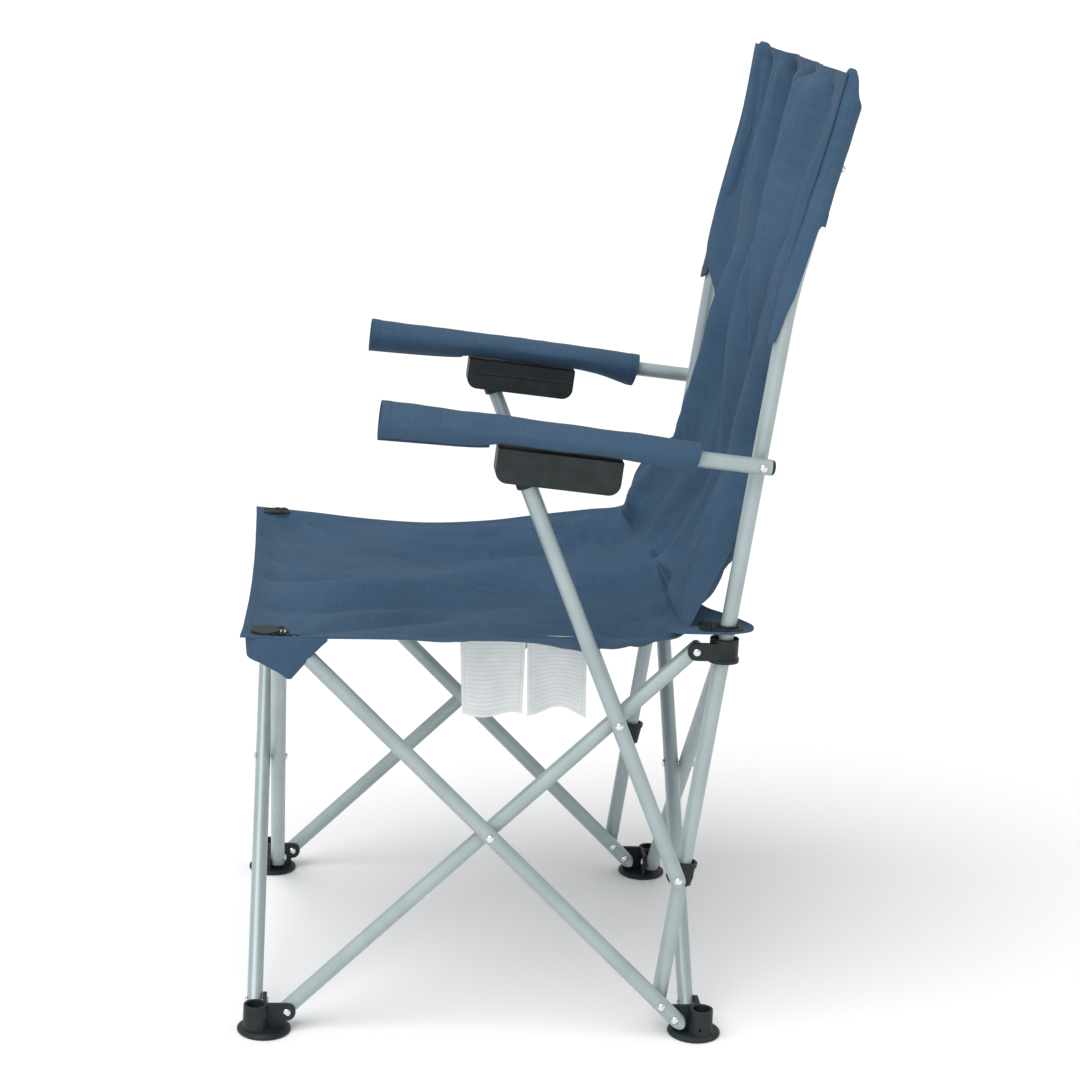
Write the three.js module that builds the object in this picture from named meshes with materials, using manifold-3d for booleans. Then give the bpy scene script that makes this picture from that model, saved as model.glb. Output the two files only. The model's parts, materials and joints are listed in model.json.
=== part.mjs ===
// A folding camp chair with arms: four crossed pairs of tube legs, two leaning back posts
// that slide through the rear hubs, and two arms held up by sliding supports.
// Millimetres, +Z up. The origin is on the floor midway between the feet, the sitter faces -Y
// and the sitter's left is +X. The chair is drawn open.
import * as THREE from "three";
import { mergeVertices } from "three/addons/utils/BufferGeometryUtils.js";
import Module from "manifold-3d";

const wasm = await Module();
wasm.setup();

// ---- Driving dimensions ----------------------------------------------------------------

const cornerHalf = 224; // from the centre to the middle of a crossed pair, in X and in Y
const fit = 0.3; // gap between pieces that touch
const tubeRadius = 8;
const tubeWall = 1.2;

const footPinHeight = 22;
const crossHeight = 218; // where the legs of a pair cross
const lowerOverhang = 13; // leg tube below its foot pin
const upperOverhang = 8; // leg tube above its upper pin
const legEndGap = 0.8; // between the outer rear leg's end and the post beside it

const shankRadius = 2;
const holeClearance = 0.4;
const headRadius = 4.2;
const headHeight = 2;

const earThickness = 4;
const earRadius = tubeRadius + 1;

const diskRadius = 27.4;
const diskHeight = 6;
const diskOffset = -2; // disk centre from the corner, in X and in Y
const socketRadius = tubeRadius + 4;
const socketBore = tubeRadius + 1.2;
const socketTop = 31;
const socketPlace = [7, 3.5]; // socket centre from the corner

const postFromEar = 3.73; // along the side leg, from the foot's ear to the lower end of the post
const postBendAboveHub = 359; // heights above the pin of the rear hub
const postTopLean = 13.3;
const postTopAboveHub = 570;
const postBendLength = 60;

const hubHeight = 24;
const hubRadius = tubeRadius + 5.2;
const hubBehindPin = 15.7; // from the pin of the side leg back to the face of the collar
const postPlayInHub = 3.8; // half the extra length of the hub's bore, for the swing of the post

const supportLean = 22.9; // degrees forward from upright
const supportPinFromHub = 106; // along the leg, from the hub pin to the support's pin
const supportDown = 177.5; // from that pin down to the sleeve's pin
const armGapFromPost = 3.8; // clear space between the post and the arm or its support

const sleeveHeight = 24;
const sleeveRadius = tubeRadius + 5;
const sleeveTaper = 2;
const postPlayInSleeve = 2.6;

const armPinAboveHub = 192.74;
const armRise = 5.3; // degrees that the arm climbs towards its front
const armTubeBack = 13; // arm tube behind its pin
const armTubeFront = 368; // and in front of it

const coverStart = 64; // arm cover, from the arm's pin
const coverEnd = 376;
const coverHeight = 37;
const coverWidth = 52;
const coverWall = 2.5;

const trackLength = 123;
const trackBeyondCap = 29; // track in front of the cap's pin
const trackTop = tubeRadius + 2; // below the arm's axis
const trackBottom = trackTop + 34;
const trackWall = 3;
const trackCorner = 12;
const trackBackWall = 6; // height of the track's back wall, which the support passes under

const capUp = 9; // cap on the support's upper end, above its pin
const capDown = 12;
const capWall = 3;
const capBelowArm = 36.2; // from the arm's axis down to the pin of the cap
const trackWidth = 2 * (tubeRadius + capWall + trackWall + 1);

const bracketStudRadius = 9;
const bracketStudPlace = [5, -5]; // stud centre from the front corner
const bracketHeadRadius = 14;

const seatThickness = 4;
const seatAboveHub = 19; // middle of the seat cloth at its front and rear edges
const seatSag = 16;
const seatFrontOverhang = 23; // seat cloth in front of the front corners
const seatMiddleY = -14;
const seatRearInset = 29;
const seatSideGap = 2.8; // between the seat's side edges and the arm supports
const backThickness = 5;
const backSideGap = 12; // from the post's centre to the cloth panel between the posts
const backTopBelowPost = 10;
const pocketAboveHub = 386; // lower end of the pockets on the posts
const backFoldAboveHub = 204; // where the two lower back panels meet
const backFoldBehindPost = 4.5;

const tubeSides = 14;
const smallSides = 10;

// ---- Places worked out from the dimensions ----------------------------------------------

const radians = THREE.MathUtils.degToRad;
const pairGap = 2 * tubeRadius + 0.4; // between the centre planes of two crossed tubes
const innerPlane = cornerHalf - pairGap / 2;
const outerPlane = cornerHalf + pairGap / 2;
const pinHalfSpan = innerPlane - tubeRadius - legEndGap - upperOverhang;
const hubPinHeight = 2 * crossHeight - footPinHeight;
const postBendHeight = hubPinHeight + postBendAboveHub;
const postTopHeight = hubPinHeight + postTopAboveHub;
const seatHeight = hubPinHeight + seatAboveHub;
const seatFrontY = -cornerHalf - seatFrontOverhang;
const seatRearY = cornerHalf - seatRearInset;
const backTopHeight = postTopHeight - backTopBelowPost;
const backPocketHeight = hubPinHeight + pocketAboveHub;
const legSlope = (crossHeight - footPinHeight) / pinHalfSpan;
const legAngle = Math.atan(legSlope);
const legLength = 2 * Math.hypot(pinHalfSpan, crossHeight - footPinHeight);
const earPlane = tubeRadius + fit + earThickness / 2; // from a tube's plane to its ear's middle
const holeRadius = shankRadius + holeClearance;

// The side view: every point below is [y, z]. The post runs from its pin on the leg through the hub.
const postPin = step(
  [pinHalfSpan, footPinHeight],
  [-Math.cos(legAngle), Math.sin(legAngle)],
  earRadius + tubeRadius + postFromEar,
);
const postAtHub = [pinHalfSpan + hubBehindPin + hubRadius, hubPinHeight];
const postSlope = (postAtHub[0] - postPin[0]) / (postAtHub[1] - postPin[1]);
const postLean = THREE.MathUtils.radToDeg(Math.atan(postSlope));
const postDirection = [Math.sin(radians(postLean)), Math.cos(radians(postLean))];
const postBaseY = postAtHub[0] - postSlope * hubPinHeight;
const hubPin = [pinHalfSpan, hubPinHeight];
const supportDirection = [-Math.sin(radians(supportLean)), Math.cos(radians(supportLean))];
const supportPin = step(hubPin, [-Math.cos(legAngle), -Math.sin(legAngle)], supportPinFromHub);
const sleevePin = step(supportPin, supportDirection, -supportDown);
const armPinHeight = hubPinHeight + armPinAboveHub;
const armPin = [postYAt(armPinHeight), armPinHeight];
const armDirection = [-Math.cos(radians(armRise)), Math.sin(radians(armRise))];
const armUpward = [Math.sin(radians(armRise)), Math.cos(radians(armRise))];

// The support ends where its line comes to the cap pin's level under the arm.
const supportUp = (reach(armPin, supportPin, armUpward) - capBelowArm)
  / reach(supportDirection, [0, 0], armUpward);
const capPin = step(supportPin, supportDirection, supportUp);
const trackEnd = reach(capPin, armPin, armDirection) + trackBeyondCap;
const trackStart = trackEnd - trackLength;
const backMiddleHeight = hubPinHeight + backFoldAboveHub;
const backMiddlePoint = [postYAt(backMiddleHeight) + backFoldBehindPost, backMiddleHeight];

const X = new THREE.Vector3(1, 0, 0);
const Y = new THREE.Vector3(0, 1, 0);
const Z = new THREE.Vector3(0, 0, 1);

/** A point at a distance from another, in the side view. */
function step(from, direction, distance) {
  return [from[0] + direction[0] * distance, from[1] + direction[1] * distance];
}

/** How far one point is from another along a direction. */
function reach(point, from, direction) {
  return (point[0] - from[0]) * direction[0] + (point[1] - from[1]) * direction[1];
}

function postYAt(z) {
  return postBaseY + postSlope * z;
}

// Left is 1 and right is -1. The left post stands inside its crossed pair, the right one outside.
function postPlane(side) {
  return side > 0 ? innerPlane : -outerPlane;
}

function armPlane(side) {
  return postPlane(side) + side * (2 * tubeRadius + armGapFromPost);
}

// ---- Materials -----------------------------------------------------------------------------

const coatedSteel = new THREE.MeshStandardMaterial({ color: 0xb4c3c6, roughness: 0.4, metalness: 0.35 });
const blackPlastic = new THREE.MeshStandardMaterial({ color: 0x23282b, roughness: 0.55, metalness: 0 });
const plating = new THREE.MeshStandardMaterial({ color: 0xdfe5e8, roughness: 0.2, metalness: 1 });
const blueCloth = new THREE.MeshStandardMaterial({ color: 0x3f5a7d, roughness: 0.85, metalness: 0 });

// ---- Solids ----------------------------------------------------------------------------------

function solid(geometry) {
  const bare = geometry.clone();
  bare.deleteAttribute("normal");
  bare.deleteAttribute("uv");
  const merged = mergeVertices(bare, 1e-4);
  return new wasm.Manifold(new wasm.Mesh({
    numProp: 3,
    vertProperties: new Float32Array(merged.attributes.position.array),
    triVerts: new Uint32Array(merged.index.array),
  }));
}

function geometryOf(body) {
  const mesh = body.getMesh();
  const geometry = new THREE.BufferGeometry();
  geometry.setAttribute("position", new THREE.BufferAttribute(new Float32Array(mesh.vertProperties), 3));
  geometry.setIndex(new THREE.BufferAttribute(new Uint32Array(mesh.triVerts), 1));
  return geometry;
}

function joined(...geometries) {
  return geometries.map(solid).reduce((all, one) => all.add(one));
}

function without(body, ...geometries) {
  return geometries.map(solid).reduce((rest, tool) => rest.subtract(tool), body);
}

/** A shape extruded by a thickness, centred, with its own x and y along the two directions. */
function plate(shape, thickness, across, up, curveSegments = 4) {
  const geometry = new THREE.ExtrudeGeometry(shape, { depth: thickness, bevelEnabled: false, curveSegments });
  geometry.translate(0, 0, -thickness / 2);
  const normal = new THREE.Vector3().crossVectors(across, up);
  geometry.applyMatrix4(new THREE.Matrix4().makeBasis(across, up, normal));
  return geometry;
}

/** A round bar along a direction, with its middle at a point. */
function bar(radius, length, direction, middle, sides = smallSides, farRadius = radius) {
  const geometry = new THREE.CylinderGeometry(farRadius, radius, length, sides);
  const turn = new THREE.Quaternion().setFromUnitVectors(Y, direction.clone().normalize());
  geometry.applyQuaternion(turn);
  geometry.translate(...middle);
  return geometry;
}

function block(size, middle) {
  const geometry = new THREE.BoxGeometry(...size);
  geometry.translate(...middle);
  return geometry;
}

/** An upright slot with round ends along Y. */
function slot(radius, play, height, middle) {
  const outline = new THREE.Shape();
  outline.absarc(0, play, radius, 0, Math.PI, false);
  outline.absarc(0, -play, radius, Math.PI, 2 * Math.PI, false);
  const geometry = plate(outline, height, X, Y, 7);
  geometry.translate(...middle);
  return geometry;
}

/** A strip with two round ends, as long as the distance between their centres. */
function strip(from, to, radius) {
  const turn = Math.atan2(to[1] - from[1], to[0] - from[0]);
  const outline = new THREE.Shape();
  outline.absarc(...to, radius, turn - Math.PI / 2, turn + Math.PI / 2, false);
  outline.absarc(...from, radius, turn + Math.PI / 2, turn + 3 * Math.PI / 2, false);
  return outline;
}

function ringShape(outer, inner) {
  const outline = new THREE.Shape();
  outline.absarc(0, 0, outer, 0, 2 * Math.PI, false);
  const hole = new THREE.Path();
  hole.absarc(0, 0, inner, 0, 2 * Math.PI, true);
  outline.holes.push(hole);
  return outline;
}

function polygon(points) {
  return new THREE.Shape(points.map(([x, y]) => new THREE.Vector2(x, y)));
}

// ---- Tubes -------------------------------------------------------------------------------------

/** A straight tube on its own Z axis with rounded ends and pin holes along X. */
function pinnedTube(bottom, top, holes) {
  const ring = new THREE.ExtrudeGeometry(
    ringShape(tubeRadius, tubeRadius - tubeWall),
    { depth: top - bottom, bevelEnabled: false, curveSegments: tubeSides / 2 },
  );
  ring.translate(0, 0, bottom);
  const outline = strip([bottom + tubeRadius, 0], [top - tubeRadius, 0], tubeRadius + 0.01);
  const rounding = plate(outline, 3 * tubeRadius, Z, Y, 5);
  const body = solid(ring).intersect(solid(rounding));
  return geometryOf(without(body, ...holes.map((z) => bar(holeRadius, 4 * tubeRadius, X, [0, 0, z]))));
}

/** A curve through the given points, with a step at each of them. */
class Route extends THREE.Curve {
  constructor(points) {
    super();
    this.points = points;
  }

  getPoint(t, target = new THREE.Vector3()) {
    const last = this.points.length - 1;
    const index = Math.min(Math.floor(t * last), last - 1);
    return target.lerpVectors(this.points[index], this.points[index + 1], t * last - index);
  }

  getUtoTmapping(u) {
    return u;
  }
}

/** The line of a back post in the side view: straight, a gentle bend, and straight again. */
function postRoute() {
  const bend = [postYAt(postBendHeight), postBendHeight];
  const topLean = radians(postTopLean);
  const topDirection = [Math.sin(topLean), Math.cos(topLean)];
  const bendStart = step(bend, postDirection, -postBendLength / 2);
  const bendEnd = step(bend, topDirection, postBendLength / 2);
  const top = step(bend, topDirection, (postTopHeight - postBendHeight) / Math.cos(topLean));
  const at = ([y, z]) => new THREE.Vector3(0, y, z);
  const curve = new THREE.QuadraticBezierCurve3(at(bendStart), at(bend), at(bendEnd));
  return new Route([at(step(postPin, postDirection, -tubeRadius)), ...curve.getPoints(4), at(top)]);
}

function postGeometry() {
  const route = postRoute();
  const tube = new THREE.ExtrudeGeometry(
    ringShape(tubeRadius, tubeRadius - tubeWall),
    { steps: route.points.length - 1, extrudePath: route, curveSegments: tubeSides / 2 },
  );
  const pins = [postPin, armPin].map((pin) => bar(holeRadius, 4 * tubeRadius, X, [0, ...pin]));
  return geometryOf(without(solid(tube), ...pins));
}

// ---- Moulded pieces ------------------------------------------------------------------------------

/** An ear for a pin: a plate square to X or Y with a round end about the pin. */
function ear(axis, plane, pin, root, radius = earRadius) {
  const along = axis === "x" ? Y : X;
  const geometry = plate(strip(pin, root, radius), earThickness, along, Z, 6);
  geometry.translate(axis === "x" ? plane : 0, axis === "x" ? 0 : plane, 0);
  return geometry;
}

function pinHole(axis, plane, pin) {
  const middle = axis === "x" ? [plane, ...pin] : [pin[0], plane, pin[1]];
  return bar(holeRadius, 3 * earThickness, axis === "x" ? X : Y, middle);
}

/** The left rear foot, drawn about its corner: the others are the same part turned. */
function footGeometry() {
  const outerEar = pairGap / 2 - earPlane;
  const innerEar = -pairGap / 2 + earPlane;
  const pinFromCorner = pinHalfSpan - cornerHalf;
  const profile = [
    [0, 0], [diskRadius - 1.4, 0], [diskRadius, 1.4], [diskRadius, 3.2],
    [diskRadius - 3, diskHeight - 0.6], [0, diskHeight],
  ].map(([r, z]) => new THREE.Vector2(r, z));
  const disk = new THREE.LatheGeometry(profile, 28);
  disk.rotateX(Math.PI / 2);
  disk.translate(diskOffset, diskOffset, 0);
  const [socketX, socketY] = socketPlace;
  const socketHeight = socketTop - 2;
  const socket = bar(socketRadius + 0.6, socketHeight, Z, [socketX, socketY, 2 + socketHeight / 2], 20, socketRadius);
  const bore = bar(socketBore, socketTop, Z, [socketX, socketY, diskHeight + socketTop / 2], 20);
  const pin = [pinFromCorner, footPinHeight];
  const sideEar = ear("x", outerEar, pin, [socketY, footPinHeight]);
  const sideWeb = block([earThickness, 24, 20], [outerEar, pinFromCorner + 13, 12.5]);
  const backEar = ear("y", innerEar, pin, [socketX, footPinHeight]);
  const backWeb = block([24, earThickness, 20], [pinFromCorner + 13, innerEar, 12.5]);
  const body = joined(disk, socket, sideEar, sideWeb, backEar, backWeb);
  return geometryOf(without(
    body,
    bore,
    pinHole("x", outerEar, pin),
    pinHole("y", innerEar, pin),
    bar(1.6, 10, new THREE.Vector3(1, -0.2, 0), [socketX + socketRadius, socketY - 2, 12]),
  ));
}

/** The left front corner bracket, drawn about its corner. The pins are moulded on its ears. */
function frontBracketGeometry() {
  const sideEar = pairGap / 2 - earPlane;
  const frontEar = sideEar;
  const pinFromCorner = pinHalfSpan - cornerHalf;
  const [studX, studY] = bracketStudPlace;
  const headBase = seatHeight - seatThickness / 2 - 5;
  const studBase = hubPinHeight - 16;
  const stud = bar(bracketStudRadius, headBase - studBase + 1, Z, [studX, studY, (headBase + studBase + 1) / 2], 16);
  const head = bar(bracketHeadRadius, 3, Z, [studX, studY, headBase + 1.5], 20);
  const sidePin = [-pinFromCorner, hubPinHeight];
  const frontPin = [pinFromCorner, hubPinHeight];
  const reach = 2 * tubeRadius + fit + 1 + earThickness / 2;
  return geometryOf(joined(
    stud,
    head,
    ear("x", sideEar, sidePin, [studY, hubPinHeight], 8),
    bar(shankRadius, reach, X, [sideEar + reach / 2, ...sidePin]),
    bar(headRadius, 1.5, X, [sideEar + reach + 0.6, ...sidePin]),
    ear("y", frontEar, frontPin, [studX, hubPinHeight], 8),
    bar(shankRadius, reach, Y, [frontPin[0], frontEar + reach / 2, frontPin[1]]),
    bar(headRadius, 1.5, Y, [frontPin[0], frontEar + reach + 0.6, frontPin[1]]),
  ));
}

/** A rear hub: a collar that the back post slides through, and an ear for each leg. */
function hubGeometry(side) {
  const plane = postPlane(side);
  const postY = postYAt(hubPinHeight);
  const sideEar = plane + earPlane;
  const backEar = side > 0 ? outerPlane - earPlane : innerPlane + earPlane;
  const backPinX = side * pinHalfSpan;
  const collar = slot(hubRadius, 1.4, hubHeight, [plane, postY, hubPinHeight]);
  const rim = slot(hubRadius + 1.2, 1.4, 4, [plane, postY, hubPinHeight - hubHeight / 2 + 2]);
  const body = joined(
    collar,
    rim,
    ear("x", sideEar, hubPin, [postY - 6, hubPinHeight]),
    ear("y", backEar, [backPinX, hubPinHeight], [plane - side * 8, hubPinHeight]),
  );
  const bore = slot(tubeRadius + fit + 0.1, postPlayInHub, 2 * hubHeight, [0, 0, 0]);
  bore.rotateX(-radians(postLean));
  bore.translate(plane, postY, hubPinHeight);
  const tools = [bore, pinHole("x", sideEar, hubPin), pinHole("y", backEar, [backPinX, hubPinHeight])];
  if (side > 0) {
    // The outer rear leg ends beside the post, so the collar is open towards it.
    const legEnd = pinHalfSpan + upperOverhang + 0.6;
    const legFace = outerPlane - tubeRadius - fit;
    tools.push(block([40, 40, 2 * hubHeight], [legEnd - 20, legFace + 20, hubPinHeight]));
  }
  return geometryOf(without(body, ...tools));
}

/** The sleeve that slides on a post and carries the lower end of the arm support. */
function sleeveGeometry(side) {
  const plane = postPlane(side);
  const postX = -plane; // the sleeve is drawn about the post's line, at x = 0
  const cup = bar(sleeveRadius - sleeveTaper, sleeveHeight, Z, [0, 0, 0], 20, sleeveRadius);
  const lip = bar(sleeveRadius + 0.8, 4, Z, [0, 0, sleeveHeight / 2 - 2], 20);
  const pinForward = postYAt(sleevePin[1]) - sleevePin[0];
  const pinPlace = [-pinForward * Math.cos(radians(postLean)), -pinForward * Math.sin(radians(postLean))];
  const cheekX = side * (tubeRadius + armGapFromPost - fit - 1.7);
  const cheek = plate(strip(pinPlace, [0, 0], 10), 3.4, Y, Z, 6);
  cheek.translate(cheekX, 0, 0);
  const body = joined(cup, lip, cheek);
  const bore = slot(tubeRadius + fit + 0.1, postPlayInSleeve, 2 * sleeveHeight, [0, 0, 0]);
  const armFace = side * (tubeRadius + armGapFromPost - fit);
  const beyond = block([20, 60, 60], [armFace + side * 10, 0, 0]);
  const pin = bar(holeRadius, 10, X, [cheekX, ...pinPlace]);
  const shaped = without(body, bore, beyond, pin);
  const geometry = geometryOf(shaped);
  geometry.rotateX(-radians(postLean));
  geometry.translate(0, postYAt(sleevePin[1]), sleevePin[1]);
  geometry.translate(-postX, 0, 0);
  return geometry;
}

// The arm's own frame has its pin at the origin, X along the arm towards the front and Z up.

/** The track under an arm: a channel open at the bottom for the support's cap. */
function trackGeometry() {
  const outline = new THREE.Shape();
  outline.moveTo(trackStart, -trackTop);
  outline.lineTo(trackStart, -trackBottom + trackCorner);
  outline.absarc(trackStart + trackCorner, -trackBottom + trackCorner, trackCorner, Math.PI, 1.5 * Math.PI, false);
  outline.absarc(trackEnd - trackCorner, -trackBottom + trackCorner, trackCorner, -Math.PI / 2, 0, false);
  outline.lineTo(trackEnd, -trackTop);
  const body = solid(plate(outline, trackWidth, X, Z, 5));
  const channelTop = trackTop + trackWall;
  const depth = trackBottom - channelTop + 10;
  const channel = block(
    [trackEnd - trackStart - 2 * trackWall, trackWidth - 2 * trackWall, depth],
    [(trackStart + trackEnd) / 2, 0, -channelTop - depth / 2],
  );
  const way = block(
    [40, trackWidth - 2 * trackWall, depth],
    [trackStart, 0, -trackTop - trackBackWall - depth / 2],
  );
  return geometryOf(without(body, channel, way));
}

/** The cloth cover of an arm, a flat round-sided tube with an opening for the track. */
function coverGeometry() {
  const length = coverEnd - coverStart;
  const oval = (height, width) => {
    const outline = new THREE.Shape();
    const radius = height / 2;
    const reach = width / 2 - radius;
    outline.absarc(reach, 0, radius, -Math.PI / 2, Math.PI / 2, false);
    outline.absarc(-reach, 0, radius, Math.PI / 2, 1.5 * Math.PI, false);
    const geometry = plate(outline, length, Y, Z, 7);
    geometry.translate((coverStart + coverEnd) / 2, 0, 0);
    return geometry;
  };
  const outside = solid(oval(coverHeight, coverWidth));
  const inside = oval(coverHeight - 2 * coverWall, coverWidth - 2 * coverWall);
  inside.scale(1.01, 1, 1);
  inside.translate(-0.01 * (coverStart + coverEnd) / 2, 0, 0);
  const opening = block(
    [trackEnd - trackStart + 4 * fit, trackWidth + 4 * fit, coverHeight],
    [(trackStart + trackEnd) / 2, 0, -coverHeight / 2 - trackTop + 2],
  );
  return geometryOf(without(outside, inside, opening));
}

/** The cap on a support's upper end, on the support's own Z axis, with its pin at the origin. */
function capGeometry() {
  const outside = bar(tubeRadius + capWall, capUp + 3 + capDown, Z, [0, 0, (capUp + 3 - capDown) / 2], 18);
  const inside = bar(tubeRadius + fit + 0.1, capUp + capDown, Z, [0, 0, (capUp - capDown) / 2 - 0.01], 18);
  return geometryOf(without(solid(outside), inside));
}

/** A rivet along its own Z axis. The shoulder keeps two pieces apart. */
function rivetGeometry(from, to, shoulder) {
  const half = [
    [0, to + headHeight], [headRadius * 0.6, to + headHeight * 0.8], [headRadius, to + 0.2],
    [headRadius, to], [shankRadius, to],
  ];
  if (shoulder) {
    half.push([shankRadius, shoulder[1]], [headRadius, shoulder[1]]);
    half.push([headRadius, shoulder[0]], [shankRadius, shoulder[0]]);
  }
  half.push(
    [shankRadius, from], [headRadius, from], [headRadius, from - 0.2],
    [headRadius * 0.6, from - headHeight * 0.8], [0, from - headHeight],
  );
  const profile = half.reverse().map(([r, z]) => new THREE.Vector2(r, z));
  const geometry = new THREE.LatheGeometry(profile, smallSides);
  geometry.rotateX(Math.PI / 2);
  return geometry;
}

/** A blind rivet with one head, for a wall with the post close behind it. */
function blindRivetGeometry(from, to) {
  const profile = [
    [0, from], [shankRadius, from], [shankRadius, to], [headRadius, to],
    [headRadius, to + 0.2], [headRadius * 0.6, to + headHeight * 0.8], [0, to + headHeight],
  ].map(([r, z]) => new THREE.Vector2(r, z));
  const geometry = new THREE.LatheGeometry(profile, smallSides);
  geometry.rotateX(Math.PI / 2);
  return geometry;
}

// ---- The chair -----------------------------------------------------------------------------------

const chair = new THREE.Group();

function add(name, geometry, material, parent = chair) {
  const mesh = new THREE.Mesh(geometry, material);
  mesh.name = name;
  parent.add(mesh);
  return mesh;
}

/** Turns a mesh or a group so that its own axes lie along the three directions. */
function aim(object, x, y, z) {
  object.setRotationFromMatrix(new THREE.Matrix4().makeBasis(x, y, z));
  return object;
}

/** Turns an object so that its Z lies along X or Y and points outwards. */
function aimPin(object, axis, sign) {
  if (axis === "x") {
    return aim(object, Y.clone().multiplyScalar(sign), Z, X.clone().multiplyScalar(sign));
  }
  return aim(object, X.clone().multiplyScalar(-sign), Z, Y.clone().multiplyScalar(sign));
}

// Each leg: its name, the axis of its pins, its plane, and the side that its foot is on.
const legs = [
  { name: "leg_left_rear", axis: "x", plane: outerPlane, foot: 1 },
  { name: "leg_left_front", axis: "x", plane: innerPlane, foot: -1 },
  { name: "leg_right_rear", axis: "x", plane: -innerPlane, foot: 1 },
  { name: "leg_right_front", axis: "x", plane: -outerPlane, foot: -1 },
  { name: "leg_front_left", axis: "y", plane: -outerPlane, foot: 1 },
  { name: "leg_front_right", axis: "y", plane: -innerPlane, foot: -1 },
  { name: "leg_rear_left", axis: "y", plane: innerPlane, foot: 1 },
  { name: "leg_rear_right", axis: "y", plane: outerPlane, foot: -1 },
];

const postPinOnLeg = Math.hypot(pinHalfSpan - postPin[0], postPin[1] - footPinHeight);

for (const { name, axis, plane, foot } of legs) {
  const holes = [-legLength / 2, 0, legLength / 2];
  if (axis === "x") {
    holes.push(foot > 0 ? postPinOnLeg - legLength / 2 : legLength / 2 - supportPinFromHub);
  }
  const tube = pinnedTube(-legLength / 2 - lowerOverhang, legLength / 2 + upperOverhang, holes);
  const mesh = add(name, tube, coatedSteel);
  const reach = -foot * Math.cos(legAngle);
  const up = axis === "x"
    ? new THREE.Vector3(0, reach, Math.sin(legAngle))
    : new THREE.Vector3(reach, 0, Math.sin(legAngle));
  const pin = axis === "x" ? X : Y;
  aim(mesh, pin, new THREE.Vector3().crossVectors(up, pin), up);
  mesh.position.set(axis === "x" ? plane : 0, axis === "x" ? 0 : plane, crossHeight);
}

// The feet are one part, turned by a quarter from corner to corner.
const footCorners = [
  ["foot_rear_left", 1, 1, 0],
  ["foot_rear_right", -1, 1, 1],
  ["foot_front_right", -1, -1, 2],
  ["foot_front_left", 1, -1, 3],
];
const footShape = footGeometry();
for (const [name, x, y, quarter] of footCorners) {
  const mesh = add(name, footShape, blackPlastic);
  mesh.rotation.z = quarter * Math.PI / 2;
  mesh.position.set(x * cornerHalf, y * cornerHalf, 0);
}

const bracketShape = frontBracketGeometry();
const leftBracket = add("front_corner_left", bracketShape, blackPlastic);
leftBracket.position.set(cornerHalf, -cornerHalf, 0);
const rightBracket = add("front_corner_right", bracketShape, blackPlastic);
rightBracket.rotation.z = -Math.PI / 2;
rightBracket.position.set(-cornerHalf, -cornerHalf, 0);

for (const [word, side] of [["left", 1], ["right", -1]]) {
  const post = add(`back_post_${word}`, postGeometry(), coatedSteel);
  post.position.x = postPlane(side);
  add(`rear_hub_${word}`, hubGeometry(side), blackPlastic);
  add(`post_sleeve_${word}`, sleeveGeometry(side), blackPlastic);

  const supportTube = pinnedTube(
    -supportDown - tubeRadius - 1,
    supportUp + capUp - 1,
    [-supportDown, 0],
  );
  const support = add(`arm_support_${word}`, supportTube, coatedSteel);
  const supportUpward = new THREE.Vector3(0, ...supportDirection);
  aim(support, X, new THREE.Vector3().crossVectors(supportUpward, X), supportUpward);
  support.position.set(armPlane(side), ...supportPin);
  const cap = add(`track_cap_${word}`, capGeometry(), blackPlastic);
  cap.quaternion.copy(support.quaternion);
  cap.position.set(armPlane(side), ...capPin);

  const arm = new THREE.Group();
  const armForward = new THREE.Vector3(0, ...armDirection);
  aim(arm, armForward, X, new THREE.Vector3().crossVectors(armForward, X));
  arm.position.set(armPlane(side), ...armPin);
  chair.add(arm);
  const armTube = add(
    `arm_tube_${word}`,
    pinnedTube(-armTubeBack, armTubeFront, [0]),
    coatedSteel,
    arm,
  );
  aim(armTube, Y, Z, X);
  add(`arm_track_${word}`, trackGeometry(), blackPlastic, arm);
  add(`arm_cover_${word}`, coverGeometry(), blueCloth, arm);
}

// ---- Rivets --------------------------------------------------------------------------------------

const headGap = tubeRadius + fit;

function addRivet(name, axis, sign, plane, pin, from, to, shoulder) {
  const rivet = add(name, rivetGeometry(from, to, shoulder), plating);
  aimPin(rivet, axis, sign);
  rivet.position.set(axis === "x" ? plane : pin[0], axis === "x" ? pin[0] : plane, pin[1]);
}

const pairRivet = [-pairGap / 2 - headGap, pairGap / 2 + headGap];
addRivet("rivet_cross_left", "x", 1, cornerHalf, [0, crossHeight], ...pairRivet);
addRivet("rivet_cross_right", "x", -1, -cornerHalf, [0, crossHeight], ...pairRivet);
addRivet("rivet_cross_front", "y", -1, -cornerHalf, [0, crossHeight], ...pairRivet);
addRivet("rivet_cross_rear", "y", 1, cornerHalf, [0, crossHeight], ...pairRivet);

// An ear lies inside an outer tube and outside an inner one.
const outerEarRivet = [-earPlane - earThickness / 2 - fit, headGap];
const innerEarRivet = [-headGap, earPlane + earThickness / 2 + fit];

for (const { name, axis, plane, foot } of legs) {
  const isOuter = Math.abs(plane) === outerPlane;
  const pin = [foot * pinHalfSpan, footPinHeight];
  const span = isOuter ? outerEarRivet : innerEarRivet;
  addRivet(`rivet_foot_${name.slice(4)}`, axis, Math.sign(plane), plane, pin, ...span);
}

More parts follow.
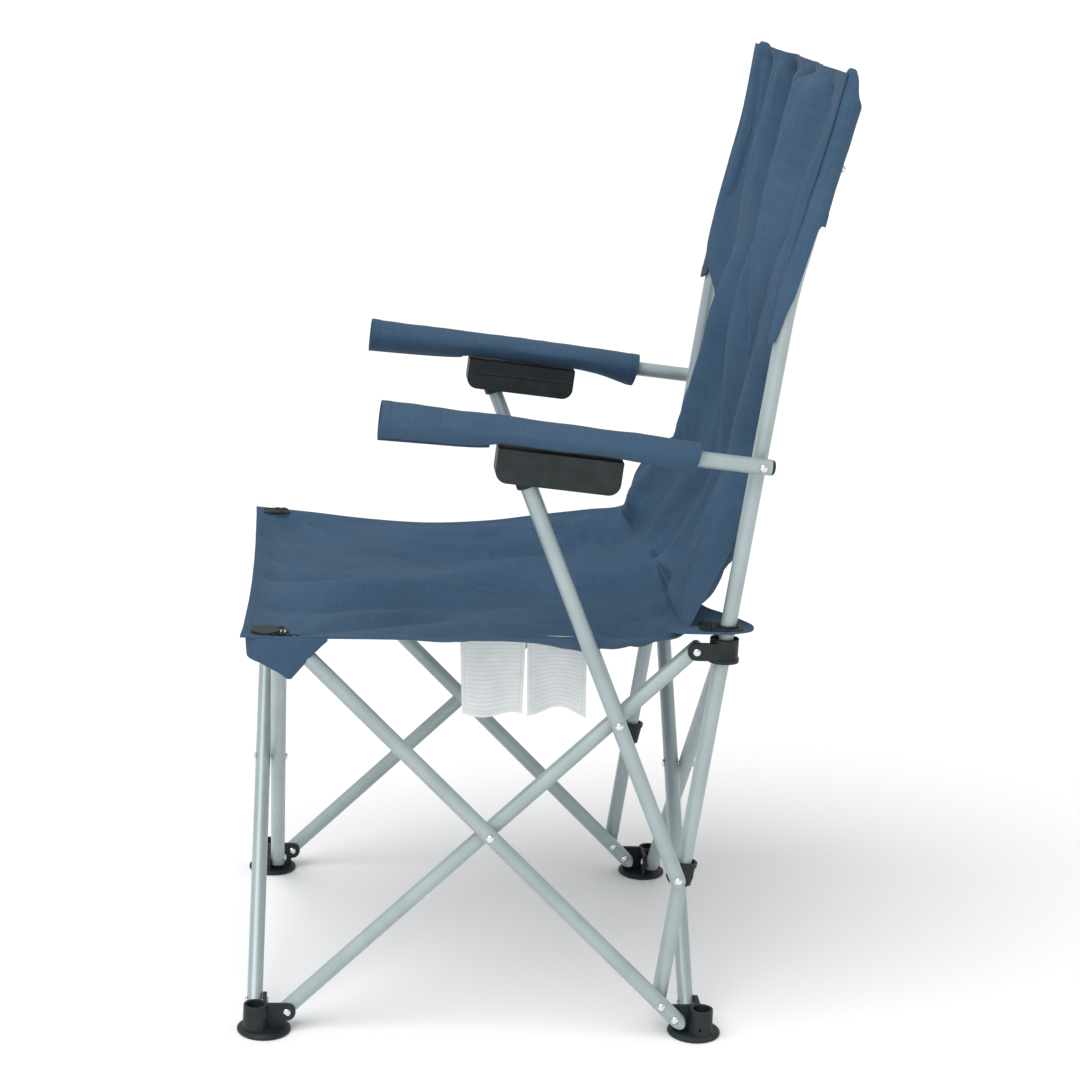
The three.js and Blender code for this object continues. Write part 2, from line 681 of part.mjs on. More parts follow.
const hubRivets = [
  ["rivet_hub_left_side", "x", innerPlane, pinHalfSpan],
  ["rivet_hub_left_back", "y", outerPlane, pinHalfSpan],
  ["rivet_hub_right_side", "x", -outerPlane, pinHalfSpan],
  ["rivet_hub_right_back", "y", innerPlane, -pinHalfSpan],
];
for (const [name, axis, plane, place] of hubRivets) {
  const span = Math.abs(plane) === outerPlane ? outerEarRivet : innerEarRivet;
  addRivet(name, axis, Math.sign(plane), plane, [place, hubPinHeight], ...span);
}

for (const [word, side] of [["left", 1], ["right", -1]]) {
  const plane = postPlane(side);
  const outside = 3 * tubeRadius + armGapFromPost + fit;
  const shoulder = [tubeRadius + fit, tubeRadius + armGapFromPost - fit];
  addRivet(`rivet_support_${word}`, "x", side, plane, supportPin, -headGap, outside, shoulder);
  addRivet(`rivet_arm_${word}`, "x", side, plane, armPin, -headGap, outside, shoulder);
  addRivet(`rivet_post_${word}`, "x", 1, side * cornerHalf, postPin, ...pairRivet);
  const blind = add(
    `rivet_sleeve_${word}`,
    blindRivetGeometry(tubeRadius + fit + 0.4, outside),
    plating,
  );
  aimPin(blind, "x", side);
  blind.position.set(plane, ...sleevePin);
}

// ---- Cloth ---------------------------------------------------------------------------------------

/** A sheet of cloth in the side view: the middle line thickened, and extruded across the chair. */
function clothGeometry(line, thickness, from, to) {
  const offset = (distance) => line.map((point, index) => {
    const before = line[Math.max(index - 1, 0)];
    const after = line[Math.min(index + 1, line.length - 1)];
    const length = Math.hypot(after[0] - before[0], after[1] - before[1]);
    const normal = [-(after[1] - before[1]) / length, (after[0] - before[0]) / length];
    return step(point, normal, distance);
  });
  const outline = polygon([...offset(-thickness / 2), ...offset(thickness / 2).reverse()]);
  const geometry = plate(outline, to - from, Y, Z);
  geometry.translate((from + to) / 2, 0, 0);
  return geometry;
}

/** The seat's middle line at a place from its front edge to its rear edge. */
function seatPoint(y) {
  const share = (y - seatFrontY) / (seatRearY - seatFrontY);
  return [y, seatHeight - seatSag * Math.sin(Math.PI * share) ** 2];
}

function seatLine(from, to) {
  const steps = 5;
  return Array.from({ length: steps + 1 }, (_, index) => seatPoint(from + (to - from) * index / steps));
}

const backSides = [postPlane(-1) + backSideGap, postPlane(1) - backSideGap];
const pocketPoint = [postYAt(backPocketHeight), backPocketHeight];
const topPoint = step(
  [postYAt(postBendHeight), postBendHeight],
  [Math.sin(radians(postTopLean)), Math.cos(radians(postTopLean))],
  (backTopHeight - postBendHeight) / Math.cos(radians(postTopLean)),
);
const seatRearPoint = seatPoint(seatRearY);
const half = fit / 2;
const supportInside = tubeRadius + seatSideGap;
const seatSides = [armPlane(-1) + supportInside, armPlane(1) - supportInside];
add("seat_front", clothGeometry(seatLine(seatFrontY, seatMiddleY - half), seatThickness, ...seatSides), blueCloth);
add("seat_rear", clothGeometry(seatLine(seatMiddleY + half, seatRearY), seatThickness, ...seatSides), blueCloth);
const lowDirection = [backMiddlePoint[0] - seatRearPoint[0], backMiddlePoint[1] - seatRearPoint[1]];
const lowLength = Math.hypot(...lowDirection);
const lowUnit = lowDirection.map((value) => value / lowLength);
add("back_low", clothGeometry(
  [step(seatRearPoint, lowUnit, backThickness), step(backMiddlePoint, lowUnit, -half)],
  backThickness,
  ...backSides,
), blueCloth);
const midDirection = [pocketPoint[0] - backMiddlePoint[0], pocketPoint[1] - backMiddlePoint[1]];
const midLength = Math.hypot(...midDirection);
const midUnit = midDirection.map((value) => value / midLength);
add("back_mid", clothGeometry(
  [step(backMiddlePoint, midUnit, backThickness / 2), step(pocketPoint, midUnit, -half - 1)],
  backThickness,
  ...backSides,
), blueCloth);
add("back_top", clothGeometry(
  [step(pocketPoint, midUnit, half + 1), topPoint],
  backThickness,
  ...backSides,
), blueCloth);

export default chair;
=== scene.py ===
import json
import math

import bmesh
import bpy
from mathutils import Matrix, Vector, noise


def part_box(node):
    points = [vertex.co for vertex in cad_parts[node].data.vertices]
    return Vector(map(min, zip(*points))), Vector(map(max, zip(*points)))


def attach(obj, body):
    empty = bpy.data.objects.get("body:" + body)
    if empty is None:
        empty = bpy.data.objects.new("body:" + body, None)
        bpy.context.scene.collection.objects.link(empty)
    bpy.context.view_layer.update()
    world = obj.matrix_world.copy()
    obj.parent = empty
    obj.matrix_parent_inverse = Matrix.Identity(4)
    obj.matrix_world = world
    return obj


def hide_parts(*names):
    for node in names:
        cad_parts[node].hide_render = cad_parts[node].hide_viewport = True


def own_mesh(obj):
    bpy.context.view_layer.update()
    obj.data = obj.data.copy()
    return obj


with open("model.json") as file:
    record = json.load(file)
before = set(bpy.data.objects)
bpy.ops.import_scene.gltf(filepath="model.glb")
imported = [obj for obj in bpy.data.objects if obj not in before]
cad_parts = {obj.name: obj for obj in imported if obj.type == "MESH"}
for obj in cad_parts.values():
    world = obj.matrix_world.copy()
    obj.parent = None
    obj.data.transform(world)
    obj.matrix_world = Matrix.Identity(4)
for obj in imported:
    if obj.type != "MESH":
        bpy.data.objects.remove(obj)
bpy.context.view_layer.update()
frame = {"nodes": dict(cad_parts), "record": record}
print("frame loaded:", len(frame["nodes"]), "nodes")

mm = 0.001
allX, allY, allZ = Vector((1, 0, 0)), Vector((0, 1, 0)), Vector((0, 0, 1))


def startMaterial(name, **sockets):
    material = bpy.data.materials.new(name)
    material.use_nodes = True
    shader = material.node_tree.nodes["Principled BSDF"]
    for socket, value in sockets.items():
        shader.inputs[socket.replace("_", " ")].default_value = value
    return material, material.node_tree, shader


def addNode(tree, kind, inputs=None, **settings):
    node = tree.nodes.new(kind)
    for key, value in settings.items():
        setattr(node, key, value)
    for socket, value in (inputs or {}).items():
        if hasattr(value, "is_linked"):
            tree.links.new(value, node.inputs[socket])
        else:
            node.inputs[socket].default_value = value
    return node


def calc(tree, operation, first, second=0.5, third=0.5):
    return addNode(tree, "ShaderNodeMath", {0: first, 1: second, 2: third}, operation=operation).outputs[0]


def ramp(tree, value, stops):
    node = addNode(tree, "ShaderNodeValToRGB", {0: value})
    elements = node.color_ramp.elements
    elements[0].position, elements[0].color = stops[0][0], (*stops[0][1], 1)
    elements[1].position, elements[1].color = stops[-1][0], (*stops[-1][1], 1)
    for position, color in stops[1:-1]:
        elements.new(position).color = (*color, 1)
    return node.outputs[0]


clothLook = {
    "dark": (0.032, 0.069, 0.120),
    "middle": (0.045, 0.091, 0.153),
    "light": (0.062, 0.117, 0.190),
    "roughness": 0.86,
    "weavePitch": 0.9 * mm,
    "creaseDepth": 0.9 * mm,
    "weaveDepth": 0.12 * mm,
    "stitchFromEdge": 10.5 * mm,
    "stitchPitch": 4.2 * mm,
}


def clothMaterial():
    look = clothLook
    material, tree, shader = startMaterial(
        "blueCloth", Roughness=look["roughness"], Specular_IOR_Level=0.16, Sheen_Weight=0.04, Sheen_Roughness=0.5)
    uv = addNode(tree, "ShaderNodeUVMap", uv_map="cloth").outputs[0]
    split = addNode(tree, "ShaderNodeSeparateXYZ", {0: uv})
    across, along = split.outputs[0], split.outputs[1]
    turn = 2 * math.pi / look["weavePitch"]
    warp = calc(tree, "SINE", calc(tree, "MULTIPLY", across, turn))
    weft = calc(tree, "SINE", calc(tree, "MULTIPLY", along, turn))
    weave = calc(tree, "MULTIPLY", warp, weft)
    streak = addNode(tree, "ShaderNodeMapping", {"Vector": uv, "Scale": (420, 26, 1)})
    slub = addNode(tree, "ShaderNodeTexNoise", {"Vector": streak.outputs[0], "Scale": 1.0, "Detail": 3.0})
    streak2 = addNode(tree, "ShaderNodeMapping", {"Vector": uv, "Scale": (30, 380, 1)})
    slub2 = addNode(tree, "ShaderNodeTexNoise", {"Vector": streak2.outputs[0], "Scale": 1.0, "Detail": 2.0})
    cloud = addNode(tree, "ShaderNodeTexNoise", {"Vector": uv, "Scale": 9.0, "Detail": 4.0, "Roughness": 0.6})
    threads = calc(tree, "ADD", calc(tree, "MULTIPLY", slub.outputs[0], 0.5),
                   calc(tree, "MULTIPLY", slub2.outputs[0], 0.5))
    tone = calc(tree, "ADD", calc(tree, "MULTIPLY", threads, 0.55), calc(tree, "MULTIPLY", cloud.outputs[0], 0.45))
    color = ramp(tree, tone, [(0.25, look["dark"]), (0.5, look["middle"]), (0.75, look["light"])])
    # stitches run at a fixed distance inside every hem
    edge = addNode(tree, "ShaderNodeAttribute", attribute_name="edgeDistance").outputs["Fac"]
    run = addNode(tree, "ShaderNodeAttribute", attribute_name="edgeRun").outputs["Fac"]
    nearLine = calc(tree, "LESS_THAN", calc(tree, "ABSOLUTE", calc(tree, "SUBTRACT", edge, look["stitchFromEdge"])),
                    0.55 * mm)
    dash = calc(tree, "GREATER_THAN", calc(tree, "SINE", calc(tree, "MULTIPLY", run,
                2 * math.pi / look["stitchPitch"])), -0.45)
    stitch = calc(tree, "MULTIPLY", nearLine, dash)
    groove = calc(tree, "LESS_THAN", calc(tree, "ABSOLUTE", calc(tree, "SUBTRACT", edge, look["stitchFromEdge"])),
                  1.3 * mm)
    band = calc(tree, "MULTIPLY", calc(tree, "LESS_THAN", edge, look["stitchFromEdge"]), 0.28)
    # painted shade in the stitch groove: the cloth colour is mixed halfway to its dark colour there; the hem band
    # inside the stitch line is darkened by 0.28
    grooveShadeAndHemBand = calc(tree, "MAXIMUM", calc(tree, "MULTIPLY", groove, 0.5), band)
    shade = addNode(tree, "ShaderNodeMix", {0: grooveShadeAndHemBand, 6: color, 7: (*look["dark"], 1)}, data_type="RGBA").outputs[2]
    final = addNode(tree, "ShaderNodeMix", {0: calc(tree, "MULTIPLY", stitch, 0.55), 6: shade,
                    7: (0.075, 0.14, 0.24, 1)}, data_type="RGBA").outputs[2]
    tree.links.new(final, shader.inputs["Base Color"])
    creaseMap = addNode(tree, "ShaderNodeMapping", {"Vector": uv, "Scale": (1.0, 0.5, 1)})
    creaseA = addNode(tree, "ShaderNodeTexNoise", {"Vector": creaseMap.outputs[0], "Scale": 26.0, "Detail": 4.0,
                      "Roughness": 0.5, "Distortion": 0.5})
    ridge = calc(tree, "ABSOLUTE", calc(tree, "SUBTRACT", creaseA.outputs[0], 0.5))
    crease = calc(tree, "MULTIPLY", ridge, -1.0)
    bumpCrease = addNode(tree, "ShaderNodeBump", {"Strength": 0.35, "Distance": 6 * look["creaseDepth"],
                         "Height": crease})
    lump = calc(tree, "ADD", weave, calc(tree, "MULTIPLY", stitch, 3.0))
    lump = calc(tree, "SUBTRACT", lump, calc(tree, "MULTIPLY", groove, 2.0))
    lump = calc(tree, "ADD", lump, calc(tree, "MULTIPLY", threads, 4.0))
    bumpWeave = addNode(tree, "ShaderNodeBump", {"Strength": 0.55, "Distance": look["weaveDepth"], "Height": lump,
                        "Normal": bumpCrease.outputs[0]})
    tree.links.new(bumpWeave.outputs[0], shader.inputs["Normal"])
    return material


tubeLook = {"light": (0.355, 0.425, 0.435), "dark": (0.315, 0.38, 0.39), "roughness": 0.36}


def tubeMaterial():
    material, tree, shader = startMaterial("coatedSteel", Roughness=tubeLook["roughness"], Metallic=0.25,
                                           Coat_Weight=0.15, Coat_Roughness=0.25)
    where = addNode(tree, "ShaderNodeTexCoord").outputs["Object"]
    cloud = addNode(tree, "ShaderNodeTexNoise", {"Vector": where, "Scale": 22.0, "Detail": 4.0})
    grain = addNode(tree, "ShaderNodeTexNoise", {"Vector": where, "Scale": 1400.0, "Detail": 2.0})
    color = ramp(tree, cloud.outputs[0], [(0.35, tubeLook["dark"]), (0.65, tubeLook["light"])])
    tree.links.new(color, shader.inputs["Base Color"])
    rough = calc(tree, "MULTIPLY_ADD", cloud.outputs[0], 0.14, tubeLook["roughness"] - 0.07)
    tree.links.new(rough, shader.inputs["Roughness"])
    bump = addNode(tree, "ShaderNodeBump", {"Strength": 0.25, "Distance": 0.1 * mm, "Height": grain.outputs[0]})
    tree.links.new(bump.outputs[0], shader.inputs["Normal"])
    return material


plasticLook = {"dark": (0.009, 0.014, 0.015), "light": (0.018, 0.025, 0.027), "roughness": 0.5}


def plasticMaterial():
    material, tree, shader = startMaterial("blackPlastic", Roughness=plasticLook["roughness"],
                                           Specular_IOR_Level=0.28)
    where = addNode(tree, "ShaderNodeTexCoord").outputs["Object"]
    cloud = addNode(tree, "ShaderNodeTexNoise", {"Vector": where, "Scale": 60.0, "Detail": 4.0})
    grain = addNode(tree, "ShaderNodeTexNoise", {"Vector": where, "Scale": 1600.0, "Detail": 3.0})
    color = ramp(tree, cloud.outputs[0], [(0.35, plasticLook["dark"]), (0.68, plasticLook["light"])])
    tree.links.new(color, shader.inputs["Base Color"])
    rough = calc(tree, "MULTIPLY_ADD", cloud.outputs[0], 0.2, plasticLook["roughness"] - 0.1)
    tree.links.new(rough, shader.inputs["Roughness"])
    bump = addNode(tree, "ShaderNodeBump", {"Strength": 0.4, "Distance": 0.12 * mm, "Height": grain.outputs[0]})
    tree.links.new(bump.outputs[0], shader.inputs["Normal"])
    return material


def rivetMaterial():
    material, tree, shader = startMaterial("rivetPlating", Metallic=1.0, Roughness=0.22)
    where = addNode(tree, "ShaderNodeTexCoord").outputs["Object"]
    cloud = addNode(tree, "ShaderNodeTexNoise", {"Vector": where, "Scale": 300.0, "Detail": 3.0})
    color = ramp(tree, cloud.outputs[0], [(0.3, (0.62, 0.65, 0.68)), (0.7, (0.80, 0.83, 0.86))])
    tree.links.new(color, shader.inputs["Base Color"])
    rough = calc(tree, "MULTIPLY_ADD", cloud.outputs[0], 0.18, 0.14)
    tree.links.new(rough, shader.inputs["Roughness"])
    return material


tagLook = {"paper": (0.80, 0.83, 0.82), "rule": (0.52, 0.57, 0.60), "ruleGap": 4.6 * mm, "margin": 6 * mm}


def tagMaterial():
    material, tree, shader = startMaterial("tagPaper", Roughness=0.55, Specular_IOR_Level=0.3)
    uv = addNode(tree, "ShaderNodeUVMap", uv_map="cloth").outputs[0]
    split = addNode(tree, "ShaderNodeSeparateXYZ", {0: uv})
    down = split.outputs[1]
    edge = addNode(tree, "ShaderNodeAttribute", attribute_name="edgeDistance").outputs["Fac"]
    line = calc(tree, "GREATER_THAN", calc(tree, "SINE", calc(tree, "MULTIPLY", down,
                2 * math.pi / tagLook["ruleGap"])), 0.72)
    inside = calc(tree, "GREATER_THAN", edge, tagLook["margin"])
    border = calc(tree, "LESS_THAN", calc(tree, "ABSOLUTE", calc(tree, "SUBTRACT", edge, 4.0 * mm)), 0.35 * mm)
    mark = calc(tree, "MAXIMUM", calc(tree, "MULTIPLY", calc(tree, "MULTIPLY", line, inside), 0.45),
                calc(tree, "MULTIPLY", border, 0.6))
    cloud = addNode(tree, "ShaderNodeTexNoise", {"Vector": uv, "Scale": 60.0, "Detail": 3.0})
    paper = ramp(tree, cloud.outputs[0], [(0.3, (0.72, 0.76, 0.76)), (0.7, tagLook["paper"])])
    color = addNode(tree, "ShaderNodeMix", {0: mark, 6: paper, 7: (*tagLook["rule"], 1)}, data_type="RGBA")
    tree.links.new(color.outputs[2], shader.inputs["Base Color"])
    bump = addNode(tree, "ShaderNodeBump", {"Strength": 0.4, "Distance": 1.2 * mm, "Height": cloud.outputs[0]})
    tree.links.new(bump.outputs[0], shader.inputs["Normal"])
    return material


finish = {
    "blue_cloth": clothMaterial(),
    "coated_steel": tubeMaterial(),
    "black_plastic": plasticMaterial(),
    "rivet_plating": rivetMaterial(),
}
tagPaper = tagMaterial()
print("materials made")


def makePiece(name, bm, body, slot, replaces=(), smoothAngle=35, material=None):
    mesh = bpy.data.meshes.new(name)
    bm.to_mesh(mesh)
    bm.free()
    piece = bpy.data.objects.new(name, mesh)
    bpy.context.scene.collection.objects.link(piece)
    mesh.materials.append(material or finish[slot])
    mesh.shade_smooth()
    mesh.set_sharp_from_angle(angle=math.radians(smoothAngle))
    if body:
        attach(piece, body)
    if replaces:
        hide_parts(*replaces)
    return piece


def bodyOf(node):
    return next(body for body, nodes in frame["record"]["behaviour"]["bodies"].items() if node in nodes)


def middleOf(node):
    low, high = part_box(node)
    return (Vector(low) + Vector(high)) / 2


def turnTo(direction, side=None):
    z = Vector(direction).normalized()
    x = Vector(side) if side else z.orthogonal()
    x = (x - z * x.dot(z)).normalized()
    return Matrix((x, z.cross(x), z)).transposed().to_4x4()


def axisOf(node):
    # the long axis of a straight piece, from its own points
    points = [vert.co for vert in frame["nodes"][node].data.vertices]
    middle = middleOf(node)
    axis = max((point - middle for point in points), key=lambda arm: arm.length)
    for _ in range(30):
        total = Vector((0, 0, 0))
        for point in points:
            total += (point - middle) * (point - middle).dot(axis)
        axis = total.normalized()
    if axis.z < 0:
        axis = -axis
    reach = [(point - middle).dot(axis) for point in points]
    return middle + axis * (max(reach) + min(reach)) / 2, axis, max(reach) - min(reach)


tubeShape = {"radius": 8 * mm, "wall": 1.2 * mm, "sides": 36, "endSteps": (0.0, 0.35, 1.0, 2.2, 3.8, 5.6, 8.0)}


def ringVerts(result):
    return [item for item in result["geom"] if isinstance(item, bmesh.types.BMVert)]


def makeTube(node, pinAxis):
    middle, axis, length = axisOf(node)
    radius = tubeShape["radius"]
    bm = bmesh.new()
    steps = [step * mm for step in tubeShape["endSteps"]]
    heights = steps + [length - step for step in reversed(steps)]
    start = bmesh.ops.create_circle(bm, cap_ends=False, segments=tubeShape["sides"], radius=radius)
    edges = list({edge for vert in start["verts"] for edge in vert.link_edges})
    rings = [start["verts"]]
    for low, high in zip(heights, heights[1:]):
        grown = bmesh.ops.extrude_edge_only(bm, edges=edges)
        edges = [item for item in grown["geom"] if isinstance(item, bmesh.types.BMEdge)]
        rings.append(ringVerts(grown))
        bmesh.ops.translate(bm, verts=rings[-1], vec=(0, 0, high - low))
    # each end is rounded about its pin, so it is flat across the pin and round beside it
    for ring, height in zip(rings, heights):
        inward = min(height, length - height)
        if inward < radius:
            limit = math.sqrt(max(radius ** 2 - (radius - inward) ** 2, 0.0)) + 0.02 * mm
            for vert in ring:
                vert.co.y = max(-limit, min(limit, vert.co.y))
    bmesh.ops.translate(bm, verts=bm.verts, vec=(0, 0, -length / 2))
    for ring in (rings[0], rings[-1]):
        bmesh.ops.contextual_create(bm, geom=ring)
    bmesh.ops.recalc_face_normals(bm, faces=bm.faces)
    bmesh.ops.transform(bm, verts=bm.verts, matrix=Matrix.Translation(middle) @ turnTo(axis, pinAxis))
    makePiece(node + "_tube", bm, bodyOf(node), "coated_steel", [node], 50)


for name in frame["nodes"]:
    if name.startswith(("leg_front", "leg_rear")):
        makeTube(name, allY)
    elif name.startswith(("leg_", "arm_support")):
        makeTube(name, allX)
print("leg and support tubes made")

armEnd = {
    "plugRadius": 7.6 * mm, "tubeShort": 8 * mm, "plugInset": 6.9 * mm,
    "plugSteps": ((1.2, 1.0), (1.6, 0.93), (0.9, 0.80), (0.5, 0.5)),
}


def makeArmTube(node):
    middle, axis, length = axisOf(node)
    if axis.y > 0:
        axis = -axis
    bm = bmesh.new()
    bmesh.ops.create_cone(bm, cap_ends=False, segments=36, radius1=tubeShape["radius"], radius2=tubeShape["radius"],
                          depth=length - armEnd["tubeShort"])
    bmesh.ops.solidify(bm, geom=bm.faces, thickness=tubeShape["wall"])
    bmesh.ops.recalc_face_normals(bm, faces=bm.faces)
    bmesh.ops.transform(bm, verts=bm.verts, matrix=Matrix.Translation(middle) @ turnTo(axis, allX))
    makePiece(node + "_tube", bm, bodyOf(node), "coated_steel", [node], 50)
    plug = bmesh.new()
    bmesh.ops.create_circle(plug, cap_ends=True, segments=32, radius=armEnd["plugRadius"])
    bmesh.ops.translate(plug, verts=plug.verts, vec=(0, 0, 2.5 * mm))
    for grow, scale in armEnd["plugSteps"]:
        top = bmesh.ops.extrude_face_region(plug, geom=[face for face in plug.faces if face.normal.z > 0.5
                                            or len(plug.faces) == 1])
        verts = ringVerts(top)
        bmesh.ops.delete(plug, geom=[face for face in plug.faces if len(face.verts) > 4
                         and not all(vert in verts for vert in face.verts)
                         and face.calc_center_median().z > 2.6 * mm], context="FACES")
        bmesh.ops.translate(plug, verts=verts, vec=(0, 0, grow * mm))
        bmesh.ops.scale(plug, verts=verts, vec=(scale, scale, 1))
    bmesh.ops.recalc_face_normals(plug, faces=plug.faces)
    back = middle - axis * (length / 2 - armEnd["plugInset"])
    bmesh.ops.transform(plug, verts=plug.verts, matrix=Matrix.Translation(back) @ turnTo(-axis, allX))
    makePiece(node + "_plug", plug, bodyOf(node), "black_plastic", (), 40)


postShape = {
    "baseY": 180, "lean": math.tan(math.radians(6.6)), "bendHeight": 773, "topLean": math.tan(math.radians(13.3)),
    "bottom": 28.6, "top": 955, "bendLength": 60,
}


def postY(z):
    shape = postShape
    straight = shape["baseY"] + shape["lean"] * z
    above = z - shape["bendHeight"]
    half = shape["bendLength"] / 2
    extra = shape["topLean"] - shape["lean"]
    if above <= -half:
        return straight
    if above >= half:
        return straight + extra * above
    return straight + extra * (above + half) ** 2 / (4 * half)


def makePost(side):
    node = "back_post_left" if side > 0 else "back_post_right"
    planeX = middleOf(node).x
    shape = postShape
    heights = [shape["bottom"], shape["bottom"] + 0.5, 400, 700]
    heights += [shape["bendHeight"] - 30 + 6 * step for step in range(11)]
    heights += [880, shape["top"]]
    bm = bmesh.new()
    start = bmesh.ops.create_circle(bm, cap_ends=False, segments=36, radius=tubeShape["radius"])
    edges = list({edge for vert in start["verts"] for edge in vert.link_edges})
    ring = start["verts"]
    for index, z in enumerate(heights):
        if index:
            grown = bmesh.ops.extrude_edge_only(bm, edges=edges)
            edges = [item for item in grown["geom"] if isinstance(item, bmesh.types.BMEdge)]
            ring = ringVerts(grown)
        slope = (postY(z + 1) - postY(z - 1)) / 2
        centre = Vector((planeX, postY(z) * mm, z * mm))
        middle = sum((vert.co for vert in ring), Vector()) / len(ring)
        if index:
            bmesh.ops.translate(bm, verts=ring, vec=centre - middle)
            tilt = math.atan(slope) - math.atan(lastSlope)
            bmesh.ops.rotate(bm, verts=ring, cent=centre, matrix=Matrix.Rotation(-tilt, 3, "X"))
        else:
            bmesh.ops.translate(bm, verts=ring, vec=centre)
            bmesh.ops.rotate(bm, verts=ring, cent=centre, matrix=Matrix.Rotation(-math.atan(slope), 3, "X"))
        lastSlope = slope
    bmesh.ops.solidify(bm, geom=bm.faces, thickness=tubeShape["wall"])
    bmesh.ops.recalc_face_normals(bm, faces=bm.faces)
    makePiece(node + "_tube", bm, node, "coated_steel", [node], 50)


for side in (1, -1):
    makePost(side)
    makeArmTube("arm_tube_left" if side > 0 else "arm_tube_right")
print("posts and arm tubes made")

mouldedEdge = {"width": 0.55 * mm, "segments": 2, "angle": 32}


def easeMoulding(node, newName, width=mouldedEdge["width"]):
    bm = bmesh.new()
    bm.from_mesh(frame["nodes"][node].data)
    bmesh.ops.remove_doubles(bm, verts=bm.verts, dist=0.01 * mm)
    bmesh.ops.dissolve_limit(bm, angle_limit=math.radians(0.6), verts=bm.verts, edges=bm.edges)
    piece = makePiece(newName, bm, bodyOf(node), "black_plastic", [node], 30)
    bevel = piece.modifiers.new("easedEdge", "BEVEL")
    bevel.width = width
    bevel.segments = mouldedEdge["segments"]
    bevel.limit_method = "ANGLE"
    bevel.angle_limit = math.radians(mouldedEdge["angle"])
    bevel.harden_normals = True


for name in frame["nodes"]:
    if name.startswith(("foot_", "rear_hub", "post_sleeve", "front_corner", "track_cap")):
        easeMoulding(name, name + "_moulding")
    elif name.startswith("arm_track"):
        easeMoulding(name, name + "_housing", 1.4 * mm)
print("mouldings eased")

trackRib = {"from": 146, "to": 251, "height": -25, "size": 1.5}


def makeTrackRib(side):
    # the raised line along each face of the arm track, with its rounded turn at the back
    node = "arm_track_left" if side > 0 else "arm_track_right"
    armTube = "arm_tube_left" if side > 0 else "arm_tube_right"
    middle, axis, length = axisOf(armTube)
    if axis.y > 0:
        axis = -axis
    pin = middle - axis * (length / 2 - 13 * mm)
    up = allX.cross(axis)
    if up.z < 0:
        up = -up
    low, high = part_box(node)
    for face in (1, -1):
        x = high[0] if face > 0 else low[0]
        bm = bmesh.new()
        size = trackRib["size"] * mm
        bmesh.ops.create_cone(bm, cap_ends=True, segments=12, radius1=size, radius2=size,
                              depth=(trackRib["to"] - trackRib["from"]) * mm)
        bmesh.ops.scale(bm, verts=bm.verts, vec=(0.45, 1, 1))
        at = pin + axis * (trackRib["from"] + trackRib["to"]) / 2 * mm + up * trackRib["height"] * mm
        place = Matrix.Translation((x, at.y, at.z)) @ turnTo(axis, allX)
        bmesh.ops.transform(bm, verts=bm.verts, matrix=place)
        makePiece(f"{node}_rib_{'outer' if face == side else 'inner'}", bm, bodyOf(node), "black_plastic", (), 50)


for side in (1, -1):
    makeTrackRib(side)

rivetShape = {"headRadius": 4.1 * mm, "headHeight": 1.9 * mm, "shank": 2 * mm, "sides": 24}


def makeRivet(node):
    low, high = (Vector(corner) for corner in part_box(node))
    size = high - low
    along = max(range(3), key=lambda index: size[index])
    direction = (allX, allY, allZ)[along]
    middle, half = (low + high) / 2, size[along] / 2
    shape = rivetShape
    ends = (-1, 1)
    if node.startswith("rivet_sleeve"):
        ends = (1,) if middle.x > 0 else (-1,)
    bm = bmesh.new()
    bmesh.ops.create_cone(bm, cap_ends=False, segments=shape["sides"], radius1=shape["shank"],
                          radius2=shape["shank"], depth=2 * (half - shape["headHeight"]))
    for end in ends:
        dome = bmesh.ops.create_uvsphere(bm, u_segments=shape["sides"], v_segments=12, radius=1.0)
        bmesh.ops.bisect_plane(bm, geom=dome["verts"] + list({edge for vert in dome["verts"]
                               for edge in vert.link_edges}) + list({face for vert in dome["verts"]
                               for face in vert.link_faces}), plane_co=(0, 0, 0), plane_no=(0, 0, -end),
                               clear_outer=True)
        domeVerts = [vert for vert in bm.verts if abs(vert.co.x) > 0.02 or abs(vert.co.y) > 0.02
                     or abs(vert.co.z) > half + 1.0 * mm]
        bmesh.ops.scale(bm, verts=domeVerts, vec=(shape["headRadius"], shape["headRadius"], shape["headHeight"]))
        bmesh.ops.translate(bm, verts=domeVerts, vec=(0, 0, end * (half - shape["headHeight"])))
        rim = [edge for edge in bm.edges if edge.is_boundary
               and abs(edge.verts[0].co.xy.length - shape["headRadius"]) < 0.1 * mm
               and edge.verts[0].co.z * end > 0]
        bmesh.ops.contextual_create(bm, geom=rim)
    bmesh.ops.holes_fill(bm, edges=[edge for edge in bm.edges if edge.is_boundary], sides=0)
    bmesh.ops.transform(bm, verts=bm.verts, matrix=Matrix.Translation(middle) @ turnTo(direction))
    makePiece(node + "_head", bm, bodyOf(node), "rivet_plating", [node], 50)


for name in frame["nodes"]:
    if name.startswith("rivet_"):
        makeRivet(name)
print("rivets made")

